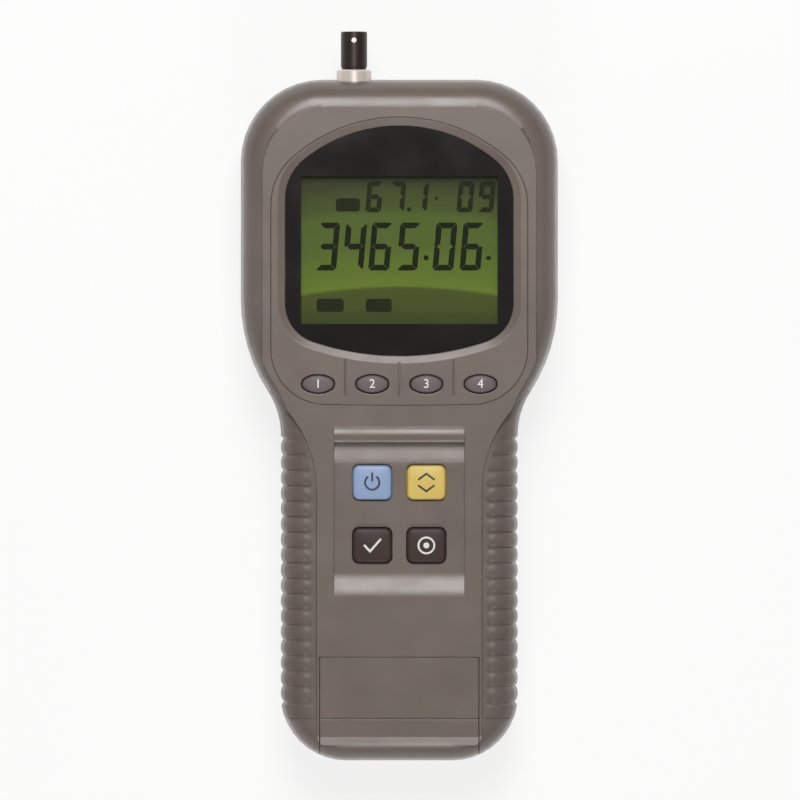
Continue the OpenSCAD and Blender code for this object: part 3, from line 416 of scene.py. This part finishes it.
def softened(name, node, body, smooth=20.0, seam=False):
    """A copy of a faceted CAD node with welded points and smooth shading, which stands for it."""
    bm = bmesh.new()
    bm.from_mesh(NODES[node].data)
    bmesh.ops.remove_doubles(bm, verts=bm.verts, dist=WELD_M)
    bmesh.ops.dissolve_limit(bm, angle_limit=math.radians(FLAT_TURN), verts=bm.verts, edges=bm.edges)
    if seam:
        bm.normal_update()
        chamfer_seam(bm)
    bmesh.ops.dissolve_degenerate(bm, dist=SLIVER_M, edges=bm.edges)
    slot = SLOT_OF[node]
    obj = piece_in_metres(name, bm, FINISH[slot], body, slot, node, smooth=smooth)
    even = obj.modifiers.new("even", "WEIGHTED_NORMAL")
    even.keep_sharp = True
    return obj


def waist_angle(o):
    """Turn of an outline's waist, up to the point where its shoulder takes over."""
    return math.acos(1 - (o.head - o.grip) / (o.shoulder_r + o.waist_r))


def shoulder_y(o):
    """Height of the centre of an outline's shoulder."""
    return o.waist + (o.shoulder_r + o.waist_r) * math.sin(waist_angle(o))


def outline_side(o, x, y):
    """Outward direction of an outline beside a point of its right half, and how far in the point lies."""
    p = Vector((x, y))
    waist = Vector((o.grip + o.waist_r, o.waist))
    shoulder = Vector((o.head - o.shoulder_r, shoulder_y(o)))
    foot = Vector((o.grip - o.foot_r, o.foot + o.foot_r))
    head = Vector((o.head - o.head_r, o.top - o.head_r))
    if y < foot.y and x <= foot.x:
        return Vector((0, -1)), y - o.foot
    if y < foot.y:
        return (p - foot).normalized(), o.foot_r - (p - foot).length
    if y < o.waist:
        return Vector((1, 0)), o.grip - x
    if math.atan2(y - waist.y, waist.x - x) < waist_angle(o):
        return (waist - p).normalized(), (waist - p).length - o.waist_r
    if y < shoulder.y:
        return (p - shoulder).normalized(), o.shoulder_r - (p - shoulder).length
    if y < head.y:
        return Vector((1, 0)), o.head - x
    if x > head.x:
        return (p - head).normalized(), o.head_r - (p - head).length
    return Vector((0, 1)), o.top - y


def case_normal(co):
    """True normal of the case's outside at a point in millimetres, or None for a point that isn't on it."""
    way, inset = outline_side(CASE, abs(co.x), co.y)
    front = co.z >= PART_Z
    edge_r, centre_x, centre_z = (EDGE_R, FRONT_CX, FRONT_CZ) if front else (BACK_R, BACK_CX, BACK_R)
    rise = co.z - centre_z if front else centre_z - co.z
    wall_h = abs(PART_Z - centre_z)
    tilt = math.atan(DRAFT / wall_h)
    if rise > 0:
        a = math.asin(min(1.0, rise / edge_r))
        expected, tilt = centre_x - edge_r * math.cos(a), max(a, tilt)
    else:
        expected = DRAFT * (1 + rise / wall_h)
    if abs(inset - expected) > NEAR_SURFACE:
        return None
    flat = math.cos(tilt)
    return Vector((math.copysign(way.x * flat, co.x), way.y * flat, math.sin(tilt if front else -tilt)))


def true_outside(obj):
    """Gives a shell the true normals on its rounded outside, and keeps the weighted ones elsewhere."""
    shaded = obj.evaluated_get(bpy.context.evaluated_depsgraph_get()).data
    normals = [n.vector.copy() for n in shaded.corner_normals]
    mesh = obj.data
    for face in mesh.polygons:
        true = [case_normal(mesh.vertices[v].co / MM) for v in face.vertices]
        if all(n and n.dot(face.normal) > SAME_SIDE for n in true):
            for corner, n in zip(face.loop_indices, true):
                normals[corner] = n
    obj.modifiers.clear()
    mesh.normals_split_custom_set(normals)


true_outside(softened("front_shell", "front_case", "case", seam=True))
true_outside(softened("rear_shell", "rear_case", "case", seam=True))
true_outside(softened("door_shell", "battery_door", "door"))
softened("bezel", "display_bezel", "case", smooth=12.0)


# Rubber grips with rounded ribs

RIB_DEPTH, RIB_FADE, RIB_POWER = 1.05, 1.6, 0.62
GRIP_DEPTH = 1.8
BORDER_GAP = 0.12

# The ribs run out over this share of the back edge, and between these distances from the face's border
BACK_FADE = 0.35
BORDER_FADE_START, BORDER_FADE_END = 3.4, 1.6

# Steps over the back and the front edge, shares of height up the two walls, and rows along the grip
BACK_STEPS, FRONT_STEPS = 9, 22
BACK_WALL, FRONT_WALL = (0.0, 0.5), (0.0, 0.25, 0.5, 0.75)
ROWS_PER_RIB, WAIST_ROWS = 14, 24

# The face's border is looked for between no inset and this one, in this many halvings
INSET_LIMIT, HALVINGS = 16.0, 30

FOOT_CX, FOOT_CY = CASE.grip - CASE.foot_r, CASE.foot + CASE.foot_r
WAIST_CX = CASE.grip + CASE.waist_r


def half_width(o, y):
    """Half the width of an outline at y, between its foot corner and its head corner."""
    turn = o.waist + o.waist_r * math.sin(waist_angle(o))
    shoulder = shoulder_y(o)
    if y <= o.waist:
        return o.grip
    if y <= turn:
        return o.grip + o.waist_r - math.sqrt(o.waist_r ** 2 - (y - o.waist) ** 2)
    if y <= shoulder:
        return o.head - o.shoulder_r + math.sqrt(o.shoulder_r ** 2 - (shoulder - y) ** 2)
    return o.head


def grip_point(row, inset):
    """Place (x, y) on the right grip, at a distance in from the case outline.

    A row is a height along Y up to the waist, and past it an angle round the waist's centre.
    """
    y, turn = row
    if turn:
        r = CASE.waist_r + inset
        return WAIST_CX - r * math.cos(turn), CASE.waist + r * math.sin(turn)
    if y < FOOT_CY:
        return FOOT_CX + math.sqrt((CASE.foot_r - inset) ** 2 - (y - FOOT_CY) ** 2), y
    return CASE.grip - inset, y


def face_inset(row):
    """Distance in from the case outline to the border of the face, found by halving."""
    low, high = 0.0, INSET_LIMIT
    for _ in range(HALVINGS):
        middle = (low + high) / 2
        x, y = grip_point(row, middle)
        if x > half_width(FACE, y) + BORDER_GAP:
            low = middle
        else:
            high = middle
    return low


def rib_depth(y):
    """How far the grip lies under the case surface at y: round ribs with narrow valleys."""
    first = FIRST_RIB_Y + RIB_PITCH / 2
    last = first - RIB_PITCH * RIB_COUNT
    if y > first:
        return RIB_DEPTH * (1 - smoothstep(0, RIB_FADE, y - first))
    if y < last:
        return RIB_DEPTH * (1 - smoothstep(0, RIB_FADE, last - y))
    u = ((first - y) / RIB_PITCH) % 1.0 - 0.5
    return RIB_DEPTH * (1 - (1 - (2 * u) ** 2) ** RIB_POWER)


def grip_section(row, ribs):
    """Points (inset, z) of the grip's skin in a row, from the back edge over the side to the face."""
    far = face_inset(row)
    depth = rib_depth(row[0]) if ribs else GRIP_DEPTH
    back_turn = math.degrees(math.acos(max(0.0, min(1.0, (BACK_CX - far) / BACK_R))))
    back_a = min(GRIP_BACK_TURN, back_turn)
    front_a = 90.0 if far >= FRONT_CX else math.degrees(math.acos((FRONT_CX - far) / EDGE_R))
    round_l = EDGE_R * math.radians(front_a)
    total = round_l + max(0.0, far - FRONT_CX)
    out = []
    for k in range(BACK_STEPS):
        a = math.radians(back_a * (1 - k / BACK_STEPS))
        d = depth * smoothstep(0.0, BACK_FADE, k / BACK_STEPS) if ribs else depth
        out.append((BACK_CX - (BACK_R - d) * math.cos(a), BACK_R - (BACK_R - d) * math.sin(a)))
    out += [(depth + DRAFT * (1 - t), BACK_R + (PART_Z - BACK_R) * t) for t in BACK_WALL]
    out += [(depth + DRAFT * t, PART_Z + (FRONT_CZ - PART_Z) * t) for t in FRONT_WALL]
    for k in range(FRONT_STEPS + 1):
        s = total * k / FRONT_STEPS
        fade = smoothstep(total - BORDER_FADE_START, total - BORDER_FADE_END, s)
        d = depth * (1 - fade) if ribs else depth
        if s <= round_l:
            a = s / EDGE_R
            out.append((FRONT_CX - (EDGE_R - d) * math.cos(a), FRONT_CZ + (EDGE_R - d) * math.sin(a)))
        else:
            out.append((FRONT_CX + s - round_l, FLANK_Z - d))
    return out


def grip_rows():
    """Rows from the foot end to the waist, and round the waist to the shoulder."""
    start = GRIP_END_Y + GRIP_GAP
    n = round((CASE.waist - start) / (RIB_PITCH / ROWS_PER_RIB))
    rows = [(start + (CASE.waist - start) * k / n, 0.0) for k in range(n + 1)]
    turn = waist_angle(CASE)
    return rows + [(CASE.waist, turn * k / WAIST_ROWS) for k in range(1, WAIST_ROWS + 1)]


def build_grip(side):
    """A closed skin: the ribbed outside, a plain inside and the four edges between them."""
    bm = bmesh.new()
    grid = {}
    for ribs in (True, False):
        grid[ribs] = []
        for row in grip_rows():
            places = [(*grip_point(row, t), z) for t, z in grip_section(row, ribs)]
            grid[ribs].append(loop(bm, [(side * x, y, z) for x, y, z in places]))
    for rows in grid.values():
        for a, b in zip(rows, rows[1:]):
            for k in range(len(a) - 1):
                bm.faces.new((a[k], a[k + 1], b[k + 1], b[k]))
    outer, inner = grid[True], grid[False]
    for j in (0, -1):
        for k in range(len(outer[j]) - 1):
            bm.faces.new((outer[j][k], outer[j][k + 1], inner[j][k + 1], inner[j][k]))
        for i in range(len(outer) - 1):
            bm.faces.new((outer[i][j], outer[i + 1][j], inner[i + 1][j], inner[i][j]))
    name = "right_grip" if side > 0 else "left_grip"
    piece(name + "_ribbed", bm, FINISH["grip_rubber"], "case", "grip_rubber", name, smooth=60.0)


build_grip(1)
build_grip(-1)


# Keys with their signs and numbers

SOFT_CROWN = 24.0
MIN_CORNER = 0.3
SHOULDER_STEPS = 6
CROWN_RINGS = (0.8, 0.6, 0.4, 0.2)
PRINT_LIFT, PRINT_T, PRINT_WELD = 0.04, 0.06, 1e-3
NUMBER_SIZE, NUMBER_T, NUMBER_LIFT = 4.6, 0.05, 0.02
LINE_W, TICK_W, DOT_W = 0.7, 0.8, 1.0


def rounded_rect(w, l, r, n=8):
    """A rectangle with round corners, as points round its middle."""
    out = []
    for k, (sx, sy) in enumerate(((1, 1), (-1, 1), (-1, -1), (1, -1))):
        out += arc(sx * (w / 2 - r), sy * (l / 2 - r), r, 90 * k, 90 * k + 90, n)
    return out


def oval(l, w, r, n=10):
    """Four arcs: two ends of radius r and two flatter sides."""
    e = l / 2 - r
    c = (e * e - (w / 2 - r) ** 2) / (2 * (w / 2 - r))
    big = c + w / 2
    end = math.degrees(math.atan2(c, e))
    out = arc(e, 0, r, -end, end, n)
    out += arc(0, -c, big, end, 180 - end, 2 * n)[1:-1]
    out += arc(-e, 0, r, 180 - end, 180 + end, n)
    out += arc(0, c, big, 180 + end, 360 - end, 2 * n)[1:-1]
    return out


def key_outline(inset):
    return rounded_rect(KEY_W - 2 * inset, KEY_L - 2 * inset, max(MIN_CORNER, KEY_R - inset))


def soft_outline(inset):
    return oval(SOFT_L - 2 * inset, SOFT_W - 2 * inset, SOFT_R - inset)


# A key's outline, top, rounded edge, crown radius and the reach of its foot flange
KeyForm = namedtuple("KeyForm", "outline top_z edge crown flange")
MAIN_FORM = KeyForm(key_outline, KEY_TOP_Z, edge=1.0, crown=KEY_CROWN, flange=1.4)
SOFT_FORM = KeyForm(soft_outline, SOFT_TOP_Z, edge=0.9, crown=SOFT_CROWN, flange=1.2)


def crown_z(form, p):
    """Height of a key's crowned top at a point from its middle."""
    return form.top_z - (p[0] ** 2 + p[1] ** 2) / (2 * form.crown)


def cap(name, form, at, slot):
    """A key: foot flange, straight stem, rounded shoulder and a crowned top."""
    bm = bmesh.new()
    edge = form.edge

    def level_ring(inset, z):
        return loop(bm, [(at[0] + p[0], at[1] + p[1], z) for p in form.outline(inset)])

    def top_ring(points, drop=0.0):
        return loop(bm, [(at[0] + p[0], at[1] + p[1], crown_z(form, p) - drop) for p in points])

    flange_z = KEY_FOOT_Z + FLANGE_T
    rim_z = min(crown_z(form, p) for p in form.outline(edge))
    rings = [level_ring(-form.flange, KEY_FOOT_Z), level_ring(-form.flange, flange_z),
             level_ring(0, flange_z), level_ring(0, rim_z - edge)]
    for k in range(1, SHOULDER_STEPS):
        a = math.radians(90 * k / SHOULDER_STEPS)
        rings.append(top_ring(form.outline(edge * (1 - math.cos(a))), edge * (1 - math.sin(a))))
    rings.append(top_ring(form.outline(edge)))
    for f in CROWN_RINGS:
        rings.append(top_ring([(p[0] * f, p[1] * f) for p in form.outline(edge)]))
    for a, b in zip(rings, rings[1:]):
        bridge(bm, a, b)
    close_ends(bm, rings)
    piece(name + "_cap", bm, FINISH[slot], name, slot, name, smooth=50.0)


def sign(name, form, at, slot, ink, shapes):
    """Printed sign on a key: each shape is a strip given as its two edges."""
    bm = bmesh.new()
    for edges in shapes:
        a, b = [loop(bm, [(at[0] + p[0], at[1] + p[1], crown_z(form, p) + PRINT_LIFT) for p in edge])
                for edge in edges]
        for k in range(len(a) - 1):
            bm.faces.new((a[k], a[k + 1], b[k + 1], b[k]))
    bmesh.ops.remove_doubles(bm, verts=bm.verts, dist=PRINT_WELD)
    obj = piece(name + "_sign", bm, PRINT[ink], name, slot)
    thick = obj.modifiers.new("print", "SOLIDIFY")
    thick.thickness = PRINT_T * MM
    thick.offset = -1.0


def number(key, at, text):
    """Printed number on a soft key."""
    curve = bpy.data.curves.new(key + "_number", "FONT")
    curve.body = text
    curve.size = NUMBER_SIZE * MM
    curve.align_x, curve.align_y = "CENTER", "CENTER"
    curve.extrude = NUMBER_T * MM
    curve.materials.append(PRINT["white"])
    label = bpy.data.objects.new(key + "_number", curve)
    bpy.context.scene.collection.objects.link(label)
    label.location = (at[0] * MM, at[1] * MM, (SOFT_TOP_Z + NUMBER_LIFT) * MM)
    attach(label, key)


def ring_arc(r, w, start, end, n=40):
    """A strip of width w along an arc round a key's middle, as its two edges."""
    return arc(0, 0, r + w / 2, start, end, n), arc(0, 0, r - w / 2, start, end, n)


def stroke(w, *corners, n=6):
    """A strip of width w along a bent line, mitred at its corners, as its two edges."""
    line = [Vector(a).lerp(Vector(b), k / n) for a, b in zip(corners, corners[1:]) for k in range(n)]
    line.append(Vector(corners[-1]))
    ways = [(b - a).normalized() for a, b in zip(line, line[1:])]
    edges = ([], [])
    for k, p in enumerate(line):
        before, after = ways[max(k - 1, 0)], ways[min(k, len(ways) - 1)]
        across = (before.orthogonal() + after.orthogonal()) / (1 + before.dot(after)) * w / 2
        edges[0].append(p + across)
        edges[1].append(p - across)
    return edges


# Each main key's place, slot, ink and sign
KEYS = {
    "power_key": ((-KEY_PITCH / 2, ROW_1), "blue_key", "dark",
                  [ring_arc(2.6, LINE_W, 125, 415), stroke(LINE_W, (0, 0.4), (0, 3.6))]),
    "edit_key": ((KEY_PITCH / 2, ROW_1), "yellow_key", "dark",
                 [stroke(LINE_W, (-3, 1.0), (0, 3.2), (3, 1.0)),
                  stroke(LINE_W, (-3, -1.0), (0, -3.2), (3, -1.0))]),
    "select_key": ((-KEY_PITCH / 2, ROW_2), "dark_key", "white",
                   [stroke(TICK_W, (-3, 0.2), (-0.8, -2.2), (3.2, 2.4))]),
    "test_key": ((KEY_PITCH / 2, ROW_2), "dark_key", "white",
                 [ring_arc(2.9, LINE_W, 0, 360), ring_arc(0.6, DOT_W, 0, 360)]),
}
for key, (at, slot, ink, shapes) in KEYS.items():
    cap(key, MAIN_FORM, at, slot)
    sign(key, MAIN_FORM, at, slot, ink, shapes)
for i in range(4):
    key = f"soft_key_{i + 1}"
    at = ((i - 1.5) * KEY_PITCH, SOFT_Y)
    cap(key, SOFT_FORM, at, "soft_key_rubber")
    number(key, at, str(i + 1))


# Silicone domes: smoothed copies of their CAD nodes, each with a mesh of its own

for node in [n for n in NODES if "_dome" in n]:
    key = node.replace("dome", "key")
    dome = softened(node + "_shell", node, "case")
    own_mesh(dome)


# Readings of the display: slanted digits of seven bars

SEGMENTS = {"0": "abcdef", "1": "bc", "2": "abged", "3": "abgcd", "4": "fgbc", "5": "afgcd",
            "6": "afgecd", "7": "abc", "8": "abcdefg", "9": "abcdfg"}
SLANT = 0.09
INK_LOW, INK_HIGH = GLASS_Z + 0.02, GLASS_Z + 0.08

# Gap between a digit's bars, and how much of their width is cut off its corners
BAR_GAP, BAR_CUT = 0.14, 0.45

# Corner radius of a plain bar, at most, and as a share of its height
BAR_CORNER, BAR_ROUND = 1.1, 0.4

# A line's digits have their left edges, and its plain bars their middles and sizes
DisplayLine = namedtuple("DisplayLine", "foot digit_w digit_h bar_w digits bars")
MAIN_LINE = DisplayLine(
    foot=54.7, digit_w=7.8, digit_h=17.6, bar_w=2.2,
    digits=[("3", -30.9), ("4", -21.0), ("6", -11.5), ("5", -1.2), ("0", 12.0), ("6", 21.9)],
    bars=[(9.8, 59.4, 1.8, 1.8), (32.7, 59.3, 1.8, 1.4)])
UPPER_LINE = DisplayLine(
    foot=76.0, digit_w=5.9, digit_h=11.4, bar_w=1.9,
    digits=[("6", -12.6), ("7", -4.2), ("1", 4.1), ("0", 20.8), ("9", 28.5)],
    bars=[(-18.8, 78.7, 8.8, 4.8), (3.6, 77.1, 1.5, 1.5), (13.6, 81.1, 1.1, 1.1),
          (-25.3, 42.0, 9.9, 4.8), (-7.5, 42.0, 9.5, 4.8)])


def drawn_in(shape, by):
    """A convex outline, given counterclockwise, with every edge moved in by a distance."""
    corners = [Vector(p) for p in shape]
    out = []
    for k, p in enumerate(corners):
        before = (p - corners[k - 1]).normalized().orthogonal()
        after = (corners[(k + 1) % len(corners)] - p).normalized().orthogonal()
        out.append(p + (before + after) * by / (1 + before.dot(after)))
    return out


def digit(bm, text, x, y, w, h, t):
    """A digit whose lower left corner is at x, y, of bars t wide that meet in mitres."""
    def turned(shape):
        return [(w - px, py) for px, py in reversed(shape)]

    def flipped(shape):
        return [(px, h - py) for px, py in reversed(shape)]

    middle, cut = h / 2, BAR_CUT * t
    top = [(t, h - t), (w - t, h - t), (w - cut / 2, h - cut / 2), (w - cut, h), (cut, h),
           (cut / 2, h - cut / 2)]
    side = [(w - t / 2, middle), (w, middle), (w, h - cut), (w - cut / 2, h - cut / 2), (w - t, h - t),
            (w - t, middle + t / 2)]
    cross = [(t / 2, middle), (t, middle - t / 2), (w - t, middle - t / 2), (w - t / 2, middle),
             (w - t, middle + t / 2), (t, middle + t / 2)]
    bars = {"a": top, "b": side, "c": flipped(side), "d": flipped(top), "e": flipped(turned(side)),
            "f": turned(side), "g": cross}
    for s in SEGMENTS[text]:
        flat_bar(bm, drawn_in(bars[s], BAR_GAP / 2), x, y, SLANT)


def flat_bar(bm, shape, x, y, slant=0.0):
    """A thin dark plate on the display glass."""
    pts = [(x + px + slant * py, y + py) for px, py in shape]
    rings = [loop(bm, [(px, py, z) for px, py in pts]) for z in (INK_LOW, INK_HIGH)]
    bridge(bm, *rings)
    close_ends(bm, rings)


def readings(name, ink, line):
    """One line of the display."""
    bm = bmesh.new()
    for text, left in line.digits:
        digit(bm, text, left, line.foot, line.digit_w, line.digit_h, line.bar_w)
    for x, y, w, h in line.bars:
        flat_bar(bm, rounded_rect(w, h, min(BAR_CORNER, BAR_ROUND * h)), x, y)
    piece(name, bm, PRINT[ink], "case", "lcd")


readings("lcd_readings", "segment", MAIN_LINE)
readings("lcd_upper_readings", "faint", UPPER_LINE)


# Cable socket: turned barrel with bayonet lugs, and a bright collar

ROOT_L, NECK_CHAMFER, NECK_L, NECK_END = 9.5, 0.2, 0.8, 1.1
ROOT_Y, BORE_Y, LUG_Y = SEAT_Y - ROOT_L, RIM_Y - BORE_L, RIM_Y - LUG_BACK
ROOT_R, NECK_R, BARREL_R = 4.75, 4.5, 4.82
BORE_R, HOLE_R = 4.06, 3.25
RIM_OUTER_R, RIM_INNER_R, RIM_CHAMFER = 4.55, 4.3, 0.35
COLLAR_R, COLLAR_SEAT_R, COLLAR_END_R, COLLAR_BORE_R = 6.35, 6.15, 5.9, 4.8
SEAT_CHAMFER, END_CHAMFER = 0.25, 0.5

# Turned outlines as radius and Y
BARREL_PROFILE = [
    (ROOT_R, ROOT_Y), (ROOT_R, COLLAR_Y - NECK_CHAMFER), (NECK_R, COLLAR_Y), (NECK_R, COLLAR_Y + NECK_L),
    (BARREL_R, COLLAR_Y + NECK_END), (BARREL_R, RIM_Y - RIM_CHAMFER), (RIM_OUTER_R, RIM_Y),
    (RIM_INNER_R, RIM_Y), (BORE_R, RIM_Y - RIM_CHAMFER), (BORE_R, BORE_Y), (HOLE_R, BORE_Y),
    (HOLE_R, ROOT_Y)]
COLLAR_PROFILE = [
    (COLLAR_BORE_R, SEAT_Y), (COLLAR_SEAT_R, SEAT_Y), (COLLAR_R, SEAT_Y + SEAT_CHAMFER),
    (COLLAR_R, COLLAR_Y - END_CHAMFER), (COLLAR_END_R, COLLAR_Y), (COLLAR_BORE_R, COLLAR_Y)]

# A lug's rings as radius and height over the socket's axis
LUG_RINGS = [(1.0, 4.3), (1.0, 5.3), (0.8, 5.5)]
TURNED_SIDES, LUG_SIDES = 64, 24


def turned_piece(name, profile, slot, *nodes):
    """A closed outline turned round the socket's axis."""
    bm = bmesh.new()
    turns = [2 * math.pi * k / TURNED_SIDES for k in range(TURNED_SIDES)]
    rings = [loop(bm, [(SOCKET_X + r * math.cos(a), y, SOCKET_Z + r * math.sin(a)) for a in turns])
             for r, y in profile]
    for a, b in zip(rings, rings[1:] + rings[:1]):
        bridge(bm, a, b)
    piece(name, bm, FINISH[slot], "case", slot, *nodes, smooth=35.0)


def build_lugs():
    """The two lugs, on opposite sides of the barrel."""
    bm = bmesh.new()
    turns = [math.radians(360 / LUG_SIDES * k) for k in range(LUG_SIDES)]
    for way in (1, -1):
        rings = [loop(bm, [(SOCKET_X + r * math.cos(a), LUG_Y + r * math.sin(a), SOCKET_Z + way * h)
                           for a in turns]) for r, h in LUG_RINGS]
        for a, b in zip(rings, rings[1:]):
            bridge(bm, a, b)
        close_ends(bm, rings)
    piece("socket_lugs", bm, FINISH["bright_nickel"], "case", "bright_nickel", smooth=35.0)


turned_piece("socket_barrel", BARREL_PROFILE, "dark_nickel", "socket_body")
build_lugs()
turned_piece("socket_collar", COLLAR_PROFILE, "bright_nickel")


# Every CAD node that still shows takes its finish from its slot

for node, slot in SLOT_OF.items():
    obj = NODES[node]
    obj.data.materials.clear()
    obj.data.materials.append(FINISH[slot])


# Floor, light and camera

# Metres
FLOOR_HALF, LAMP_DISTANCE = 4.0, 1.2
CAMERA_Z, METER_MIDDLE_Z, CLIP_END = 6.0, 0.022, 20.0

FLOOR_DARK, FLOOR_LIGHT = (0.87, 0.87, 0.86, 1.0), (0.91, 0.91, 0.90, 1.0)
FLOOR_GLOW = 0.80
WORLD_COLOR, WORLD_STRENGTH = (1.0, 0.985, 0.97, 1.0), 0.12

# The photo is this many pixels wide, and one of them is this many millimetres of the meter
PHOTO_PX, MM_PER_PX = 800, 0.367
SENSOR_MM = 36.0

# The place under the middle of the photo
AIM_X, AIM_Y = 0.26, 7.36


def pale_floor():
    """A pale floor with faint shadows, which glows to the camera, in reflections and through glass."""
    mesh = bpy.data.meshes.new("floor")
    h = FLOOR_HALF
    mesh.from_pydata([(-h, -h, 0), (h, -h, 0), (h, h, 0), (-h, h, 0)], [], [(0, 1, 2, 3)])
    s = Shader("floor", Roughness=0.9)
    tones = [(NOISE_LOW, FLOOR_DARK), (NOISE_HIGH, FLOOR_LIGHT)]
    s.feed("Base Color", s.ramp(s.noise(scale=3.0), tones))
    rays = s.add("ShaderNodeLightPath").outputs
    seen = s.math("MAXIMUM", rays["Is Camera Ray"], rays["Is Glossy Ray"])
    through = s.math("MAXIMUM", seen, rays["Is Transmission Ray"])
    glow = s.add("ShaderNodeEmission", {"Strength": 1.0})
    mix = s.add("ShaderNodeMixShader")
    s.link(s.math("MULTIPLY", through, FLOOR_GLOW), mix.inputs["Fac"])
    s.link(s.bsdf.outputs["BSDF"], mix.inputs[1])
    s.link(glow.outputs["Emission"], mix.inputs[2])
    s.link(mix.outputs["Shader"], s.tree.nodes["Material Output"].inputs["Surface"])
    mesh.materials.append(s.mat)
    obj = bpy.data.objects.new("floor", mesh)
    bpy.context.scene.collection.objects.link(obj)


def softbox(name, tilt, turn, size, power):
    """An area lamp aimed at the meter, tilt degrees off the vertical, towards turn degrees from +Y.

    Its size is in metres and its power in watts.
    """
    lamp = bpy.data.lights.new(name, "AREA")
    lamp.shape = "RECTANGLE"
    lamp.size, lamp.size_y = size
    lamp.energy = power
    obj = bpy.data.objects.new(name, lamp)
    bpy.context.scene.collection.objects.link(obj)
    t, u = math.radians(tilt), math.radians(turn)
    way = Vector((math.sin(t) * math.sin(u), math.sin(t) * math.cos(u), math.cos(t)))
    obj.location = way * LAMP_DISTANCE
    obj.rotation_euler = way.to_track_quat("Z", "Y").to_euler()


def set_stage():
    pale_floor()
    softbox("main_softbox", tilt=29, turn=0, size=(0.46, 0.66), power=11.4)
    softbox("low_strip", tilt=52, turn=180, size=(0.6, 0.26), power=4.9)
    softbox("left_strip", tilt=66, turn=270, size=(0.2, 0.8), power=0.4)
    softbox("right_strip", tilt=66, turn=90, size=(0.2, 0.8), power=0.12)
    world = bpy.data.worlds.new("studio")
    bpy.context.scene.world = world
    world.use_nodes = True
    back = world.node_tree.nodes["Background"]
    back.inputs["Color"].default_value = WORLD_COLOR
    back.inputs["Strength"].default_value = WORLD_STRENGTH
    bpy.context.scene.view_settings.view_transform = "Standard"


def set_camera():
    """Straight down on the face from afar, with the photo's framing."""
    data = bpy.data.cameras.new("camera")
    data.sensor_width = data.sensor_height = SENSOR_MM
    data.sensor_fit = "HORIZONTAL"
    reach = CAMERA_Z - METER_MIDDLE_Z
    data.lens = SENSOR_MM * reach / (PHOTO_PX * MM_PER_PX * MM)
    data.clip_end = CLIP_END
    obj = bpy.data.objects.new("camera", data)
    obj.location = (AIM_X * MM, AIM_Y * MM, CAMERA_Z)
    bpy.context.scene.collection.objects.link(obj)
    bpy.context.scene.camera = obj


set_stage()
set_camera()
